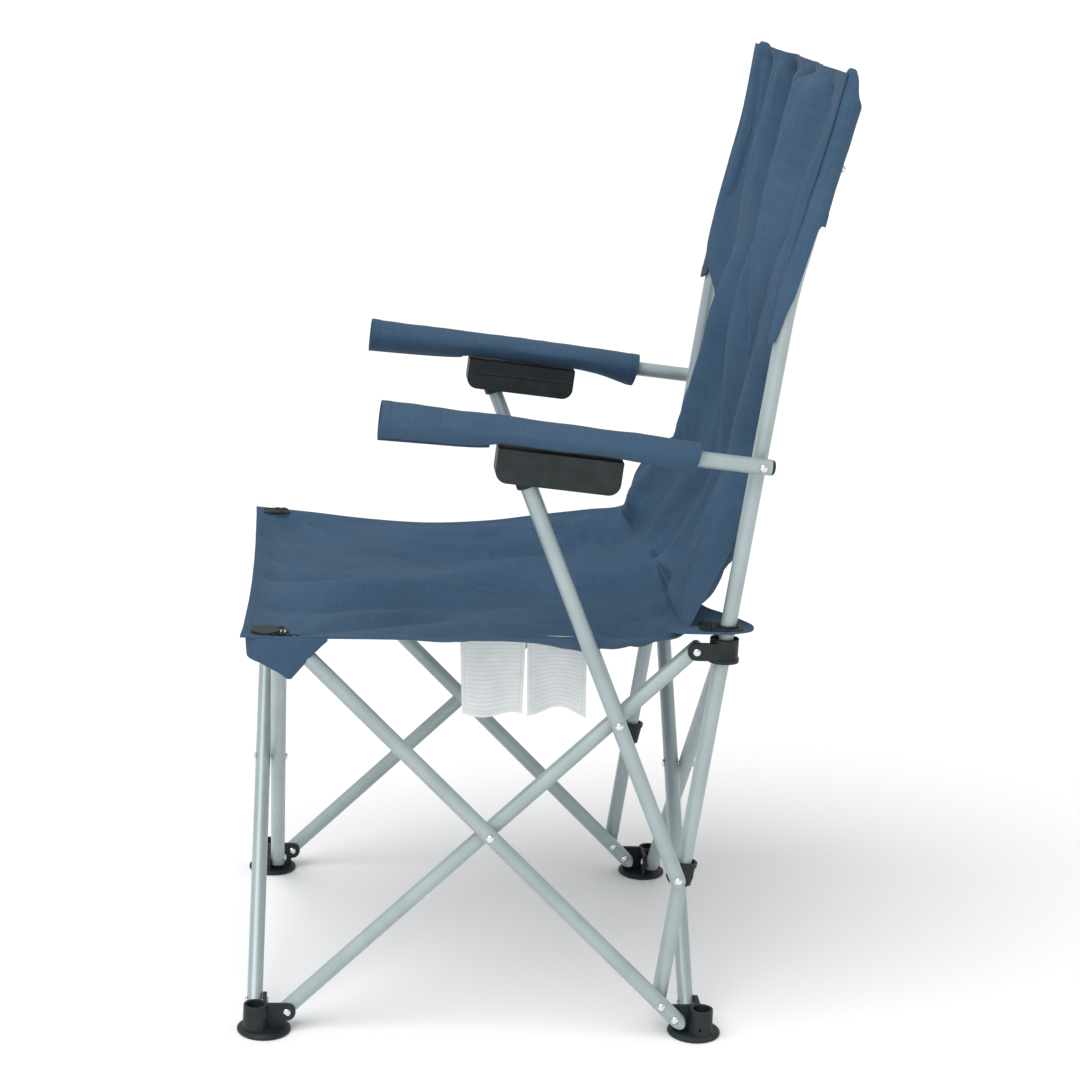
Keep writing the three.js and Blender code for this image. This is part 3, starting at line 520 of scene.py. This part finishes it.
# each row: length along the cloth, then left edge x y z, right edge x y z, and y z at the middle
slingRows = [
    (0, 247, -253, 426, -245, -250, 437, -247, 425),
    (60, 243, -193, 425, -242, -190, 433, -189, 417),
    (130, 232, -123, 422.5, -240, -120, 427, -120, 411),
    (200, 226, -53, 421, -239, -50, 424.5, -50, 407),
    (270, 225, 18, 421.5, -239, 20, 429, 20, 406),
    (330, 225, 80, 423, -238, 80, 438, 82, 408),
    (385, 224, 134, 424, -237, 136, 446, 138, 413),
    (430, 222, 174, 426, -236, 178, 453, 184, 423),
    (450, 218, 188, 433, -233, 184, 472, 203, 433),
    (470, 214, 198, 452, -230, 190, 496, 216, 451),
    (500, 210, 211, 479, -221, 205, 521, 229, 478),
    (530, 207, 226, 508, -213, 226, 540, 240, 505),
    (560, 204, 239, 537, -207, 250, 556, 249, 533),
    (590, 201, 247, 564, -205, 260, 580, 256, 561),
    (620, 199, 251, 590, -205, 268, 606, 262, 589),
    (680, 198, 255, 648, -207, 280, 660, 272, 646),
    (740, 202, 258, 706, -214, 269, 710, 281, 703),
    (790, 210, 260, 752, -226, 256, 749, 288, 748),
    (840, 217, 264, 800, -234, 263, 798, 296, 797),
    (900, 221, 277, 858, -238, 276, 857, 305, 855),
    (960, 223, 291, 916, -241, 289, 916, 314, 914),
    (1028, 223, 307, 987, -243, 299, 990, 320, 985),
]
slingMesh = {"columns": 84, "rows": 190, "thickness": 1.0 * mm, "hemWidth": 12, "width": 462, "length": 1028}
# where the folding parts of the cloth meet, as lengths along it
slingParts = [
    ("seat_front_cloth", 0, 233, "seat_front", "seat_front"),
    ("seat_rear_cloth", 233, 448, "seat_rear", "seat_rear"),
    ("back_low_cloth", 448, 652, "back_low", "back_low"),
    ("back_mid_cloth", 652, 842, "back_mid", "back_mid"),
    ("back_top_cloth", 842, 1028, "back_post_left", "back_top"),
]


def rowAt(rows, where):
    # a smooth curve through the rows
    last = len(rows) - 1
    index = 0
    while index < last - 1 and where > rows[index + 1][0]:
        index += 1
    before, low = rows[max(index - 1, 0)], rows[index]
    high, after = rows[index + 1], rows[min(index + 2, last)]
    span = high[0] - low[0]
    share = (where - low[0]) / span
    found = []
    for column in range(1, len(low)):
        startSlope = (high[column] - before[column]) / (high[0] - before[0]) * span
        endSlope = (after[column] - low[column]) / (after[0] - low[0]) * span
        a, b = low[column], high[column]
        found.append((2 * share ** 3 - 3 * share ** 2 + 1) * a + (share ** 3 - 2 * share ** 2 + share) * startSlope
                     + (3 * share ** 2 - 2 * share ** 3) * b + (share ** 3 - share ** 2) * endSlope)
    return found


def soften(value, low, high):
    share = max(0.0, min(1.0, (value - low) / (high - low)))
    return share * share * (3 - 2 * share)


def slingPoint(across, along):
    # across runs from 0 at the right hand side to 1 at the left
    leftX, leftY, leftZ, rightX, rightY, rightZ, midY, midZ = rowAt(slingRows, along)
    belly = 4 * across * (1 - across)
    skew = soften(along, 690, 860)
    belly += skew * (soften(across, 0.0, 0.24) * (1 - soften(across, 0.2, 1.05)) * 1.12 - belly)
    y = rightY + (leftY - rightY) * across + (midY - (leftY + rightY) / 2) * belly
    z = rightZ + (leftZ - rightZ) * across + (midZ - (leftZ + rightZ) / 2) * belly
    return Vector((rightX + (leftX - rightX) * across, y, z)) * mm


def swell(a, b, seed):
    return 1.7 * noise.noise(Vector((a, b, seed)))


def crease(a, b, seed):
    # broad swellings that meet in narrow valleys
    value = abs(noise.noise(Vector((a, b, seed))))
    return 1.9 * math.sqrt(value * value + 0.0016) - 0.5


def slingFold(across, along):
    # how far the cloth stands off its smooth shape, in millimetres
    x = across * 462
    seat = 1 - soften(along, 395, 475)
    back = 1 - seat
    edge = min(across, 1 - across)
    hold = soften(edge, 0.0, 0.07)
    # the seat's broad folds run from front to back and lean towards its rear corners
    lean = 34 * swell(x / 260, along / 190, 31.0)
    fan = (across - 0.5) * (1 + 0.3 * soften(along, 120, 430)) * 462 + lean
    height = seat * (5.2 * crease(fan / 92, along / 330, 3.1) + 2.0 * swell(fan / 120, along / 260, 61.7)
                     + 1.7 * crease(fan / 40, along / 170, 7.9))
    for cornerX, cornerT, power in ((0, 15, 1.0), (462, 15, 1.0), (0, 420, 0.8), (462, 420, 0.8)):
        dx, dt = x - cornerX, along - cornerT
        distance = math.hypot(dx, dt)
        angle = math.atan2(abs(dx) + 1, abs(dt) + 1)
        height += power * 3.0 * crease(angle * 3.4, cornerX * 0.01 + cornerT * 0.02, 64.3) \
            * math.exp(-distance / 130) * soften(distance, 10, 70)
    # the back hangs in upright folds between its posts and gathers under its top hem
    drift = 26 * swell(x / 220, along / 210, 44.0)
    spread = (across - 0.5) * (1 + 0.35 * math.exp(-((along - 650) / 130) ** 2)) * 430 + drift
    height += back * (8.0 * crease(spread / 66, along / 420, 12.4) + 2.6 * swell(spread / 90, along / 240, 71.5)
                      + 2.4 * crease(spread / 29, along / 210, 23.3))
    gather = soften(along, 880, 1005) * (1 - soften(along, 1010, 1018))
    height += 3.4 * gather * crease(spread / 17, along / 400, 81.2)
    height *= 1 - 0.75 * soften(along, 1008, 1024)
    return (4.0 * seat + 3.7 * back) * height * hold * (0.25 + 0.75 * soften(along, 0, 40))


# the back cloth bellies behind the left post's rear face no faster than it leaves that post
bellyLimit = {"behindPost": 4.0, "spread": 0.17, "soft": 4.0, "from": (470, 520), "to": (770, 850)}


def holdForward(vert, along):
    limit = bellyLimit
    share = soften(along, *limit["from"]) * (1 - soften(along, *limit["to"]))
    x, y, z = vert.co / mm
    furthest = postY(z) + limit["behindPost"] + limit["spread"] * max(215.8 - x, 0.0) - limit["soft"]
    if share and y > furthest:
        held = furthest + limit["soft"] * (1 - math.exp((furthest - y) / limit["soft"]))
        vert.co.y = (y + (held - y) * share) * mm


def markCloth(bm, uvLayer, edgeLayer, runLayer, record):
    # the flat place of each point drives the weave, and its distance from the hem the stitches
    for face in bm.faces:
        for loop in face.loops:
            loop[uvLayer].uv = record[loop.vert.index][0:2]
    for vert in bm.verts:
        vert[edgeLayer], vert[runLayer] = record[vert.index][2:4]


def hemSpacing(share, count, width):
    # columns stand close together at both hems and evenly between
    hems = [0, 0.6, 3, 6, 9, 11.4, 12.6, 16]
    flank = len(hems)
    index = round(share * count)
    if index < flank:
        return hems[index] / width
    if index > count - flank:
        return 1 - hems[count - index] / width
    inner = (index - flank + 1) / (count - 2 * flank + 2)
    return (hems[-1] + (width - 2 * hems[-1]) * inner) / width


def makeSling():
    shape = slingMesh
    bm = bmesh.new()
    bmesh.ops.create_grid(bm, x_segments=shape["columns"], y_segments=shape["rows"], size=0.5)
    uvLayer = bm.loops.layers.uv.new("cloth")
    edgeLayer = bm.verts.layers.float.new("edgeDistance")
    runLayer = bm.verts.layers.float.new("edgeRun")
    hemLayer = bm.verts.layers.float.new("hem")
    partLayer = bm.faces.layers.int.new("part")
    bm.verts.index_update()
    cuts = [part[1] for part in slingParts[1:]]
    flat = {}
    for vert in bm.verts:
        across = hemSpacing(vert.co.x + 0.5, shape["columns"], shape["width"])
        along = (vert.co.y + 0.5) * shape["length"]
        for cut in cuts:
            if abs(along - cut) < 0.5 * shape["length"] / shape["rows"]:
                along = cut
        flat[vert.index] = (across, along)
    for face in bm.faces:
        middle = sum(flat[vert.index][1] for vert in face.verts) / 4
        face[partLayer] = sum(middle > cut for cut in cuts)
    record = {}
    for vert in bm.verts:
        across, along = flat[vert.index]
        vert.co = slingPoint(across, along)
        side = min(across, 1 - across) * shape["width"]
        end = min(along, shape["length"] - along)
        record[vert.index] = (across * shape["width"] * mm, along * mm, min(side, end) * mm,
                              (along if side < end else across * shape["width"]) * mm)
        vert[hemLayer] = 1.0 if min(side, end) < shape["hemWidth"] else 0.5
    markCloth(bm, uvLayer, edgeLayer, runLayer, record)
    bmesh.ops.recalc_face_normals(bm, faces=bm.faces)
    if sum(face.normal.z for face in bm.faces) < 0:
        bmesh.ops.reverse_faces(bm, faces=bm.faces)
    bm.normal_update()
    lift = {vert: vert.normal * slingFold(*flat[vert.index]) * mm for vert in bm.verts}
    for vert, move in lift.items():
        vert.co += move
        holdForward(vert, flat[vert.index][1])
    return bm


def finishCloth(piece, thickness):
    # a hem is folded over, so it is twice as thick as the rest
    solid = piece.modifiers.new("clothThickness", "SOLIDIFY")
    solid.offset = 0
    solid.use_even_offset = False
    group = piece.vertex_groups.new(name="hem")
    for index, value in enumerate(piece.data.attributes["hem"].data):
        group.add([index], value.value, "REPLACE")
    solid.vertex_group = "hem"
    solid.thickness = 2 * thickness
    solid.thickness_vertex_group = 0.0


def applyModifiers(piece):
    graph = bpy.context.evaluated_depsgraph_get()
    mesh = bpy.data.meshes.new_from_object(piece.evaluated_get(graph))
    piece.modifiers.clear()
    piece.data = mesh
    mesh.set_sharp_from_angle(angle=math.radians(50))


def squashCloth(piece):
    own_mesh(piece)


def clothPiece(name, bm, body, replaces=(), thickness=1.0 * mm, squash=True, material=None):
    piece = makePiece(name, bm, None, "blue_cloth", (), 60, material)
    finishCloth(piece, thickness)
    applyModifiers(piece)
    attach(piece, body)
    if replaces:
        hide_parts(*replaces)
    if squash:
        squashCloth(piece)
    return piece


whole = makeSling()
for index, (name, start, end, body, node) in enumerate(slingParts):
    part = whole.copy()
    partLayer = part.faces.layers.int["part"]
    bmesh.ops.delete(part, geom=[face for face in part.faces if face[partLayer] != index], context="FACES")
    piece = clothPiece(name, part, body, [node], slingMesh["thickness"])
whole.free()
print("sling made")

pocketShape = {
    "sides": 48, "rings": 72, "radius": 10.2, "deep": 11.4, "rivetHeight": 896, "rivetBehind": 13.0,
    "rivetSize": (3.4, 3.0, 3.4),
    "rim": [(0, 724), (0.14, 730), (0.5, 766), (0.6, 782), (0.68, 834), (0.76, 842), (1, 842)],
    "top": [(0, 987), (0.4, 984), (0.75, 966), (1, 958)],
}


def makePocket(side):
    shape = pocketShape
    post = "back_post_left" if side > 0 else "back_post_right"
    planeX = middleOf(post).x / mm
    bm = bmesh.new()
    bmesh.ops.create_grid(bm, x_segments=shape["sides"], y_segments=shape["rings"], size=0.5)
    uvLayer = bm.loops.layers.uv.new("cloth")
    edgeLayer = bm.verts.layers.float.new("edgeDistance")
    runLayer = bm.verts.layers.float.new("edgeRun")
    hemLayer = bm.verts.layers.float.new("hem")
    bm.verts.index_update()
    record = {}
    for vert in bm.verts:
        turn, up = (vert.co.x + 0.5) * 2 * math.pi, vert.co.y + 0.5
        rear = 0.5 - 0.5 * math.cos(turn)
        low, = rowAt(shape["rim"], rear)
        high, = rowAt(shape["top"], rear)
        z = low + (high - low) * min(up / 0.97, 1.0)
        close = soften(up, 0.955, 1.0)
        flare = 0.8 * (1 - soften(z, low, low + 45))
        wave = 0.9 * noise.noise(Vector((turn * 1.3, z / 60, side * 7))) + 0.5 * noise.noise(
            Vector((turn * 3, z / 22, side * 11)))
        radius = (shape["radius"] + wave + flare) * (1 - 0.86 * close)
        deep = (shape["deep"] + wave + flare) * (1 - 0.3 * close)
        slope = (postY(z + 1) - postY(z - 1)) / 2
        lean = -math.cos(turn) * deep
        if side < 0:
            lean -= 8 * (1 - rear) * soften(z, 890, 965)
        x = planeX + side * math.sin(turn) * radius
        vert.co = Vector((x, postY(z) + lean, z - lean * slope * 0.7 + 3 * close)) * mm
        record[vert.index] = (turn * 11 * mm, z * mm, (z - low) * mm, turn * 11 * mm)
        vert[hemLayer] = 1.0 if z - low < 12 else 0.5
    markCloth(bm, uvLayer, edgeLayer, runLayer, record)
    bmesh.ops.remove_doubles(bm, verts=bm.verts, dist=0.02 * mm)
    top = max(vert.co.z for vert in bm.verts)
    bmesh.ops.holes_fill(bm, edges=[edge for edge in bm.edges if edge.is_boundary
                                    and min(vert.co.z for vert in edge.verts) > top - 12 * mm], sides=0)
    bmesh.ops.triangulate(bm, faces=[face for face in bm.faces if len(face.verts) > 4])
    bmesh.ops.recalc_face_normals(bm, faces=bm.faces)
    word = "left" if side > 0 else "right"
    piece = clothPiece(f"post_pocket_{word}", bm, post, squash=False)
    bump = bmesh.new()
    bmesh.ops.create_uvsphere(bump, u_segments=16, v_segments=10, radius=1.0)
    bmesh.ops.scale(bump, verts=bump.verts, vec=Vector(shape["rivetSize"]) * mm)
    z = shape["rivetHeight"]
    bmesh.ops.translate(bump, verts=bump.verts, vec=Vector((planeX, postY(z) + shape["rivetBehind"], z)) * mm)
    makePiece(f"pocket_rivet_{word}", bump, post, "rivet_plating", (), 60)


for side in (1, -1):
    makePocket(side)
print("post pockets made")


def clothGrid(columns, rows, place, width, length, closed=False, hem=0.0, stitched=True):
    # a sheet whose points come from place(across, along), both from 0 to 1; sizes in millimetres
    bm = bmesh.new()
    bmesh.ops.create_grid(bm, x_segments=columns, y_segments=rows, size=0.5)
    uvLayer = bm.loops.layers.uv.new("cloth")
    edgeLayer = bm.verts.layers.float.new("edgeDistance")
    runLayer = bm.verts.layers.float.new("edgeRun")
    hemLayer = bm.verts.layers.float.new("hem")
    bm.verts.index_update()
    record = {}
    for vert in bm.verts:
        across, along = vert.co.x + 0.5, vert.co.y + 0.5
        side = 1e3 if closed else min(across, 1 - across) * width
        end = min(along, 1 - along) * length
        vert.co = Vector(place(across, along)) * mm
        record[vert.index] = (across * width * mm, along * length * mm, min(side, end) * mm if stitched else 1.0,
                              (along * length if side < end else across * width) * mm)
        vert[hemLayer] = 1.0 if min(side, end) < hem else 0.5
    markCloth(bm, uvLayer, edgeLayer, runLayer, record)
    bmesh.ops.remove_doubles(bm, verts=bm.verts, dist=0.02 * mm)
    bmesh.ops.recalc_face_normals(bm, faces=bm.faces)
    return bm


def lineAt(stops, where):
    # a smooth curve through pairs of place and value
    return rowAt(stops, max(stops[0][0], min(stops[-1][0], where)))


def straightAt(stops, where):
    for (low, start), (high, end) in zip(stops, stops[1:]):
        if where <= high:
            return start + (end - start) * (where - low) / (high - low)
    return stops[-1][1]


armShape = {
    "pinY": 250.2, "pinZ": 606.7, "rise": math.radians(5.3), "leftPlane": 235.6, "rightPlane": -252.0,
    "wave": 0.7,
}
# along the arm from its pin: top, bottom and half width of the cover
coverRows = {
    1: [(64, 15.6, -13.6, 21), (84, 16.0, -13.2, 22.5), (104, 16.4, -11.6, 24), (124, 16.8, -9.2, 25),
        (140, 17.0, -8.4, 25.5), (200, 17.6, -8.4, 25.5), (258, 18.2, -8.6, 25), (272, 18.4, -11.2, 24.5),
        (292, 18.6, -13.0, 24), (330, 18.8, -14.6, 24), (376, 19.0, -16.4, 24)],
    -1: [(64, 16.4, -19.5, 20), (84, 16.6, -16.8, 22), (104, 16.8, -12.4, 24), (124, 17.0, -9.2, 25),
         (140, 17.2, -8.4, 25.5), (200, 17.8, -8.4, 25.5), (258, 18.2, -8.6, 25), (272, 18.4, -11.0, 24.5),
         (292, 18.6, -12.8, 24), (330, 18.8, -14.6, 24), (376, 19.0, -16.2, 24)],
}


def armPoint(side, along, over, out):
    # a place in the arm's own frame: along it, above it and out to the left
    shape = armShape
    plane = shape["leftPlane"] if side > 0 else shape["rightPlane"]
    c, s = math.cos(shape["rise"]), math.sin(shape["rise"])
    return (plane + out, shape["pinY"] - c * along + s * over, shape["pinZ"] + s * along + c * over)


def makeArmCover(side):
    word = "left" if side > 0 else "right"
    rows = coverRows[side]

    def place(across, along):
        turn = across * 2 * math.pi
        reach = rows[0][0] + (rows[-1][0] - rows[0][0]) * along
        top, bottom, half = lineAt(rows, reach)
        low = 0.5 + 0.5 * math.cos(turn)
        wave = armShape["wave"] * (1.4 * noise.noise(Vector((reach / 46, turn * 0.9, side * 4.0)))
                                   + 0.6 * noise.noise(Vector((reach / 17, turn * 2.1, side * 9.0))))
        out = side * (half + wave) * math.sin(turn) * (1 - 0.22 * low * low)
        over = (top + bottom) / 2 - math.cos(turn) * ((top - bottom) / 2 + wave)
        reach += 4.0 * low * (1 - soften(along, 0.0, 0.12))
        return armPoint(side, reach, over, out)

    bm = clothGrid(64, 110, place, 132, 312, True, 11)
    name = f"arm_cover_{word}"
    piece = clothPiece(name + "_cloth", bm, f"arm_{word}", [name], 0.8 * mm, squash=False)

    def seam(across, along):
        reach = 268 + 108 * along
        top, bottom, half = lineAt(rows, reach)
        return armPoint(side, reach, bottom + 1.6 - 3.6 * across, side * (2.5 + 1.6 * across))

    strip = clothGrid(6, 40, seam, 4, 108, False, 0, False)
    clothPiece(name + "_seam", strip, f"arm_{word}", (), 0.9 * mm, squash=False)


for side in (1, -1):
    makeArmCover(side)
print("arm covers made")

tabShape = {
    "middle": -8, "half": 246, "height": 436.6,
    "rear": [(0, 213), (0.35, 214), (0.55, 221), (0.68, 233), (0.80, 249), (0.88, 257), (0.95, 252), (1.0, 230)],
    "front": [(0, 192), (0.5, 190), (0.8, 179), (0.95, 170), (1.0, 178)],
}


def tabPoint(across, along):
    shape = tabShape
    offset = (across - 0.5) * 2
    # columns stand closer towards both ends, where the outline turns
    offset = math.copysign(1 - (1 - abs(offset)) ** 1.25, offset)
    share = abs(offset)
    rear, = lineAt(shape["rear"], share)
    front, = lineAt(shape["front"], share)
    x = shape["middle"] + shape["half"] * offset
    y = front + (rear - front) * along
    sag = -7 * (1 - soften(share, 0.35, 0.8)) * math.sin(along * math.pi / 2)
    wave = 1.4 * noise.noise(Vector((x / 40, y / 30, 2.2))) * (1 - soften(share, 0.7, 0.85))
    return x, y, shape["height"] + sag + wave


bm = clothGrid(120, 22, tabPoint, 560, 58, False, 9)
piece = clothPiece("rear_tab_cloth", bm, "seat_rear")

plateShape = {
    "rearLength": 44, "rearWidth": 31, "thickness": 1.6, "corner": 7.0,
    "rib": 0.75, "ribGap": 4.4, "ribSlant": 3.5, "ribReach": 11.5,
    "ringRadius": 10.0, "ringBar": 1.3, "capRadius": 7.8, "capHeight": 2.4, "arcBar": 1.05, "arcStart": 10.8,
    "arcGap": 3.9, "arcReach": (150, 76, 52),
}


def roundPlate(name, at, length, width, thickness, corner, body):
    bm = bmesh.new()
    bmesh.ops.create_cube(bm, size=1.0)
    bmesh.ops.scale(bm, verts=bm.verts, vec=(width * mm, length * mm, thickness * mm))
    upright = [edge for edge in bm.edges if abs(edge.verts[0].co.z - edge.verts[1].co.z) > 0.5 * thickness * mm]
    bmesh.ops.bevel(bm, geom=upright, offset=corner * mm, segments=8, profile=0.5, affect="EDGES", material=-1)
    rim = [edge for edge in bm.edges if edge.calc_face_angle(0) > 1.2]
    bmesh.ops.bevel(bm, geom=rim, offset=0.45 * mm, segments=3, profile=0.5, affect="EDGES", material=-1)
    bmesh.ops.translate(bm, verts=bm.verts, vec=Vector(at) * mm)
    makePiece(name, bm, body, "black_plastic", (), 40)


def bentBar(name, path, radius, body):
    # a round bar along a row of points
    bm = bmesh.new()
    start = bmesh.ops.create_circle(bm, cap_ends=False, segments=10, radius=radius * mm)
    ring = start["verts"]
    edges = list({edge for vert in ring for edge in vert.link_edges})
    points = [Vector(point) * mm for point in path]
    first = ring
    for index, point in enumerate(points):
        ahead = points[min(index + 1, len(points) - 1)] - points[max(index - 1, 0)]
        if index:
            grown = bmesh.ops.extrude_edge_only(bm, edges=edges)
            edges = [item for item in grown["geom"] if isinstance(item, bmesh.types.BMEdge)]
            ring = ringVerts(grown)
            bmesh.ops.transform(bm, verts=ring, matrix=last.inverted())
        last = Matrix.Translation(point) @ turnTo(ahead, allZ)
        bmesh.ops.transform(bm, verts=ring, matrix=last)
    for end in (first, ring):
        bmesh.ops.contextual_create(bm, geom=end)
    bmesh.ops.recalc_face_normals(bm, faces=bm.faces)
    makePiece(name, bm, body, "black_plastic", (), 60)


def domeCap(name, at, radius, height, body):
    bm = bmesh.new()
    bmesh.ops.create_uvsphere(bm, u_segments=32, v_segments=16, radius=1.0)
    bmesh.ops.scale(bm, verts=bm.verts, vec=(radius * mm, radius * mm, height * mm))
    bmesh.ops.translate(bm, verts=bm.verts, vec=Vector(at) * mm)
    makePiece(name, bm, body, "black_plastic", (), 60)


def makeCornerPlates(side):
    word = "left" if side > 0 else "right"
    shape = plateShape
    postX = 215.8 if side > 0 else -232.2
    top = tabShape["height"] + 1.4
    postAt = postY(top)
    hub = f"rear_hub_{word}"
    rearX, rearY = postX + side * 1.0, postAt - 8
    roundPlate(f"rear_plate_{word}", (rearX, rearY, top), shape["rearLength"], shape["rearWidth"],
               shape["thickness"], shape["corner"], hub)
    bm = bmesh.new()
    profile = bmesh.ops.create_circle(bm, cap_ends=False, segments=12, radius=shape["ringBar"] * mm)
    bmesh.ops.rotate(bm, verts=profile["verts"], cent=(0, 0, 0), matrix=Matrix.Rotation(math.pi / 2, 3, "X"))
    bmesh.ops.translate(bm, verts=profile["verts"], vec=(shape["ringRadius"] * mm, 0, 0))
    bmesh.ops.spin(bm, geom=bm.verts[:] + bm.edges[:], cent=(0, 0, 0), axis=(0, 0, 1), dvec=(0, 0, 0),
                   angle=2 * math.pi, steps=36, use_merge=True)
    bmesh.ops.recalc_face_normals(bm, faces=bm.faces)
    bmesh.ops.translate(bm, verts=bm.verts, vec=Vector((postX, postAt, top + 1.5)) * mm)
    makePiece(f"rear_plate_ring_{word}", bm, hub, "black_plastic", (), 60)
    for index in range(3):
        y, slant, reach = rearY - 19 + shape["ribGap"] * index, shape["ribSlant"], shape["ribReach"]
        path = [(rearX - reach, y + slant, top + 1.0), (rearX, y + slant / 2, top + 1.1), (rearX + reach, y, top + 1.0)]
        bentBar(f"rear_plate_rib{index + 1}_{word}", path, shape["rib"], hub)
    corner = f"front_corner_{word}"
    frontX, frontY = (229, -222) if side > 0 else (-229, -227)
    level = slingLevel(frontX, frontY) + 1.0
    domeCap(f"front_cap_{word}", (frontX, frontY - 4, level + 0.3), shape["capRadius"],
            shape["capHeight"], corner)
    for index in range(3):
        radius = shape["arcStart"] + shape["arcGap"] * index
        reach = math.radians(shape["arcReach"][index])
        path = [(frontX + radius * math.sin(a / 12 * reach) * 0.98, frontY - 4 + radius * math.cos(a / 12 * reach),
                 level + 1.6) for a in range(-12, 13)]
        bentBar(f"front_plate_rib{index + 1}_{word}", path, shape["arcBar"], corner)


def slingLevel(x, y):
    # height of the smooth cloth over a place near the front corners
    best = None
    for along in range(0, 120, 2):
        for share in range(0, 41):
            across = share / 40
            point = slingPoint(across, along) / mm
            gap = (point.x - x) ** 2 + (point.y - y) ** 2
            if best is None or gap < best[0]:
                best = (gap, point.z)
    return best[1]


for side in (1, -1):
    makeCornerPlates(side)
print("corner plates made")

gussetShape = {
    "depth": 41, "topZ": 423.5,
    "path": [(0, 240.5, -168), (0.5, 244.5, -214), (0.62, 245.5, -232), (0.72, 243, -243), (0.80, 236, -247.5),
             (1.0, 200, -248)],
    "drop": [(0, 0.0), (0.22, 0.46), (0.42, 0.98), (0.46, 0.98), (0.64, 0.56), (0.8, 0.42), (1, 0.0)],
}


def makeGusset(side):
    word = "left" if side > 0 else "right"
    shape = gussetShape

    def place(across, along):
        x, y = lineAt(shape["path"], across)
        drop = straightAt(shape["drop"], across)
        down = along * (drop * shape["depth"] + 3)
        inward = 5.0 * (along ** 1.4) * drop
        wave = 1.2 * noise.noise(Vector((across * 5, along * 2.5, side * 3.0)))
        return side * (x - inward - abs(wave) * along), y + 3.5 * along * drop, shape["topZ"] - down + 1

    bm = clothGrid(60, 18, place, 128, 44, False, 0, False)
    piece = clothPiece(f"front_gusset_{word}", bm, f"front_corner_{word}", squash=False)


for side in (1, -1):
    makeGusset(side)

tagShape = {"x": 150, "top": 405, "curl": 5.0}


def makeTag(name, fromY, toY, bottom, bend, seed):
    def place(across, along):
        y = fromY + (toY - fromY) * across
        low = bottom + bend * math.sin(across * math.pi) + 2.0 * math.cos(across * 7 + seed)
        z = tagShape["top"] + (low - tagShape["top"]) * along
        x = tagShape["x"] + tagShape["curl"] * along * math.sin(across * 5.2 + seed) \
            + 2.2 * noise.noise(Vector((across * 2.4, along * 1.8, seed)))
        return x, y + (3.0 * along if seed > 1 else 5 * along * (1 - across)), z

    width, length = abs(toY - fromY), tagShape["top"] - bottom
    bm = clothGrid(40, 48, place, width, length)
    piece = clothPiece(name, bm, "seat_rear", (), 0.3 * mm, material=tagPaper)


makeTag("care_tag_front", -33, 34.5, 319, 0, 0.4)
makeTag("care_tag_rear", 36, 97, 321, 5, 2.1)
print("gussets and tags made")

cameraPlace = {
    "at": (2.574, -0.1891, 1.1174), "yaw": -0.0959, "pitch": 0.2461, "roll": 0.0486,
    "lens": 82.74, "sensor": 36.0,
}


def addCamera():
    place = cameraPlace
    yaw, pitch, roll = place["yaw"], place["pitch"], place["roll"]
    ahead = Vector((-math.cos(yaw) * math.cos(pitch), -math.sin(yaw) * math.cos(pitch), -math.sin(pitch)))
    right = ahead.cross(allZ).normalized()
    up = right.cross(ahead)
    right, up = (math.cos(roll) * right + math.sin(roll) * up, -math.sin(roll) * right + math.cos(roll) * up)
    data = bpy.data.cameras.new("camera")
    data.lens, data.sensor_width, data.clip_end = place["lens"], place["sensor"], 50
    camera = bpy.data.objects.new("camera", data)
    turn = Matrix((right, up, -ahead)).transposed().to_4x4()
    camera.matrix_world = Matrix.Translation(place["at"]) @ turn
    bpy.context.scene.collection.objects.link(camera)
    bpy.context.scene.camera = camera


def addLight(name, at, size, watts, target=(0, 0, 0.45)):
    data = bpy.data.lights.new(name, "AREA")
    data.energy, data.shape, data.size = watts, "DISK", size
    light = bpy.data.objects.new(name, data)
    aim = Vector(at) - Vector(target)
    light.matrix_world = Matrix.Translation(at) @ turnTo(aim)
    bpy.context.scene.collection.objects.link(light)


def addStage():
    bm = bmesh.new()
    bmesh.ops.create_grid(bm, x_segments=1, y_segments=1, size=120)
    mesh = bpy.data.meshes.new("floor")
    bm.to_mesh(mesh)
    bm.free()
    floor = bpy.data.objects.new("floor", mesh)
    bpy.context.scene.collection.objects.link(floor)
    material, tree, shader = startMaterial("floorPaper", Roughness=0.9, Base_Color=(0.93, 0.93, 0.93, 1))
    mesh.materials.append(material)
    world = bpy.data.worlds.new("studio")
    world.use_nodes = True
    world.node_tree.nodes["Background"].inputs[0].default_value = (1, 1, 1, 1)
    world.node_tree.nodes["Background"].inputs[1].default_value = 0.68
    bpy.context.scene.world = world
    sun = bpy.data.lights.new("keySun", "SUN")
    sun.energy, sun.angle = 1.9, math.radians(50)
    light = bpy.data.objects.new("keySun", sun)
    light.matrix_world = turnTo((0.62, -0.55, 1.25))
    bpy.context.scene.collection.objects.link(light)
    addLight("fillLight", (3.0, -0.4, 1.4), 2.0, 12)
    bpy.context.scene.view_settings.view_transform = "Standard"


addCamera()
addStage()
print("camera, floor and light placed")
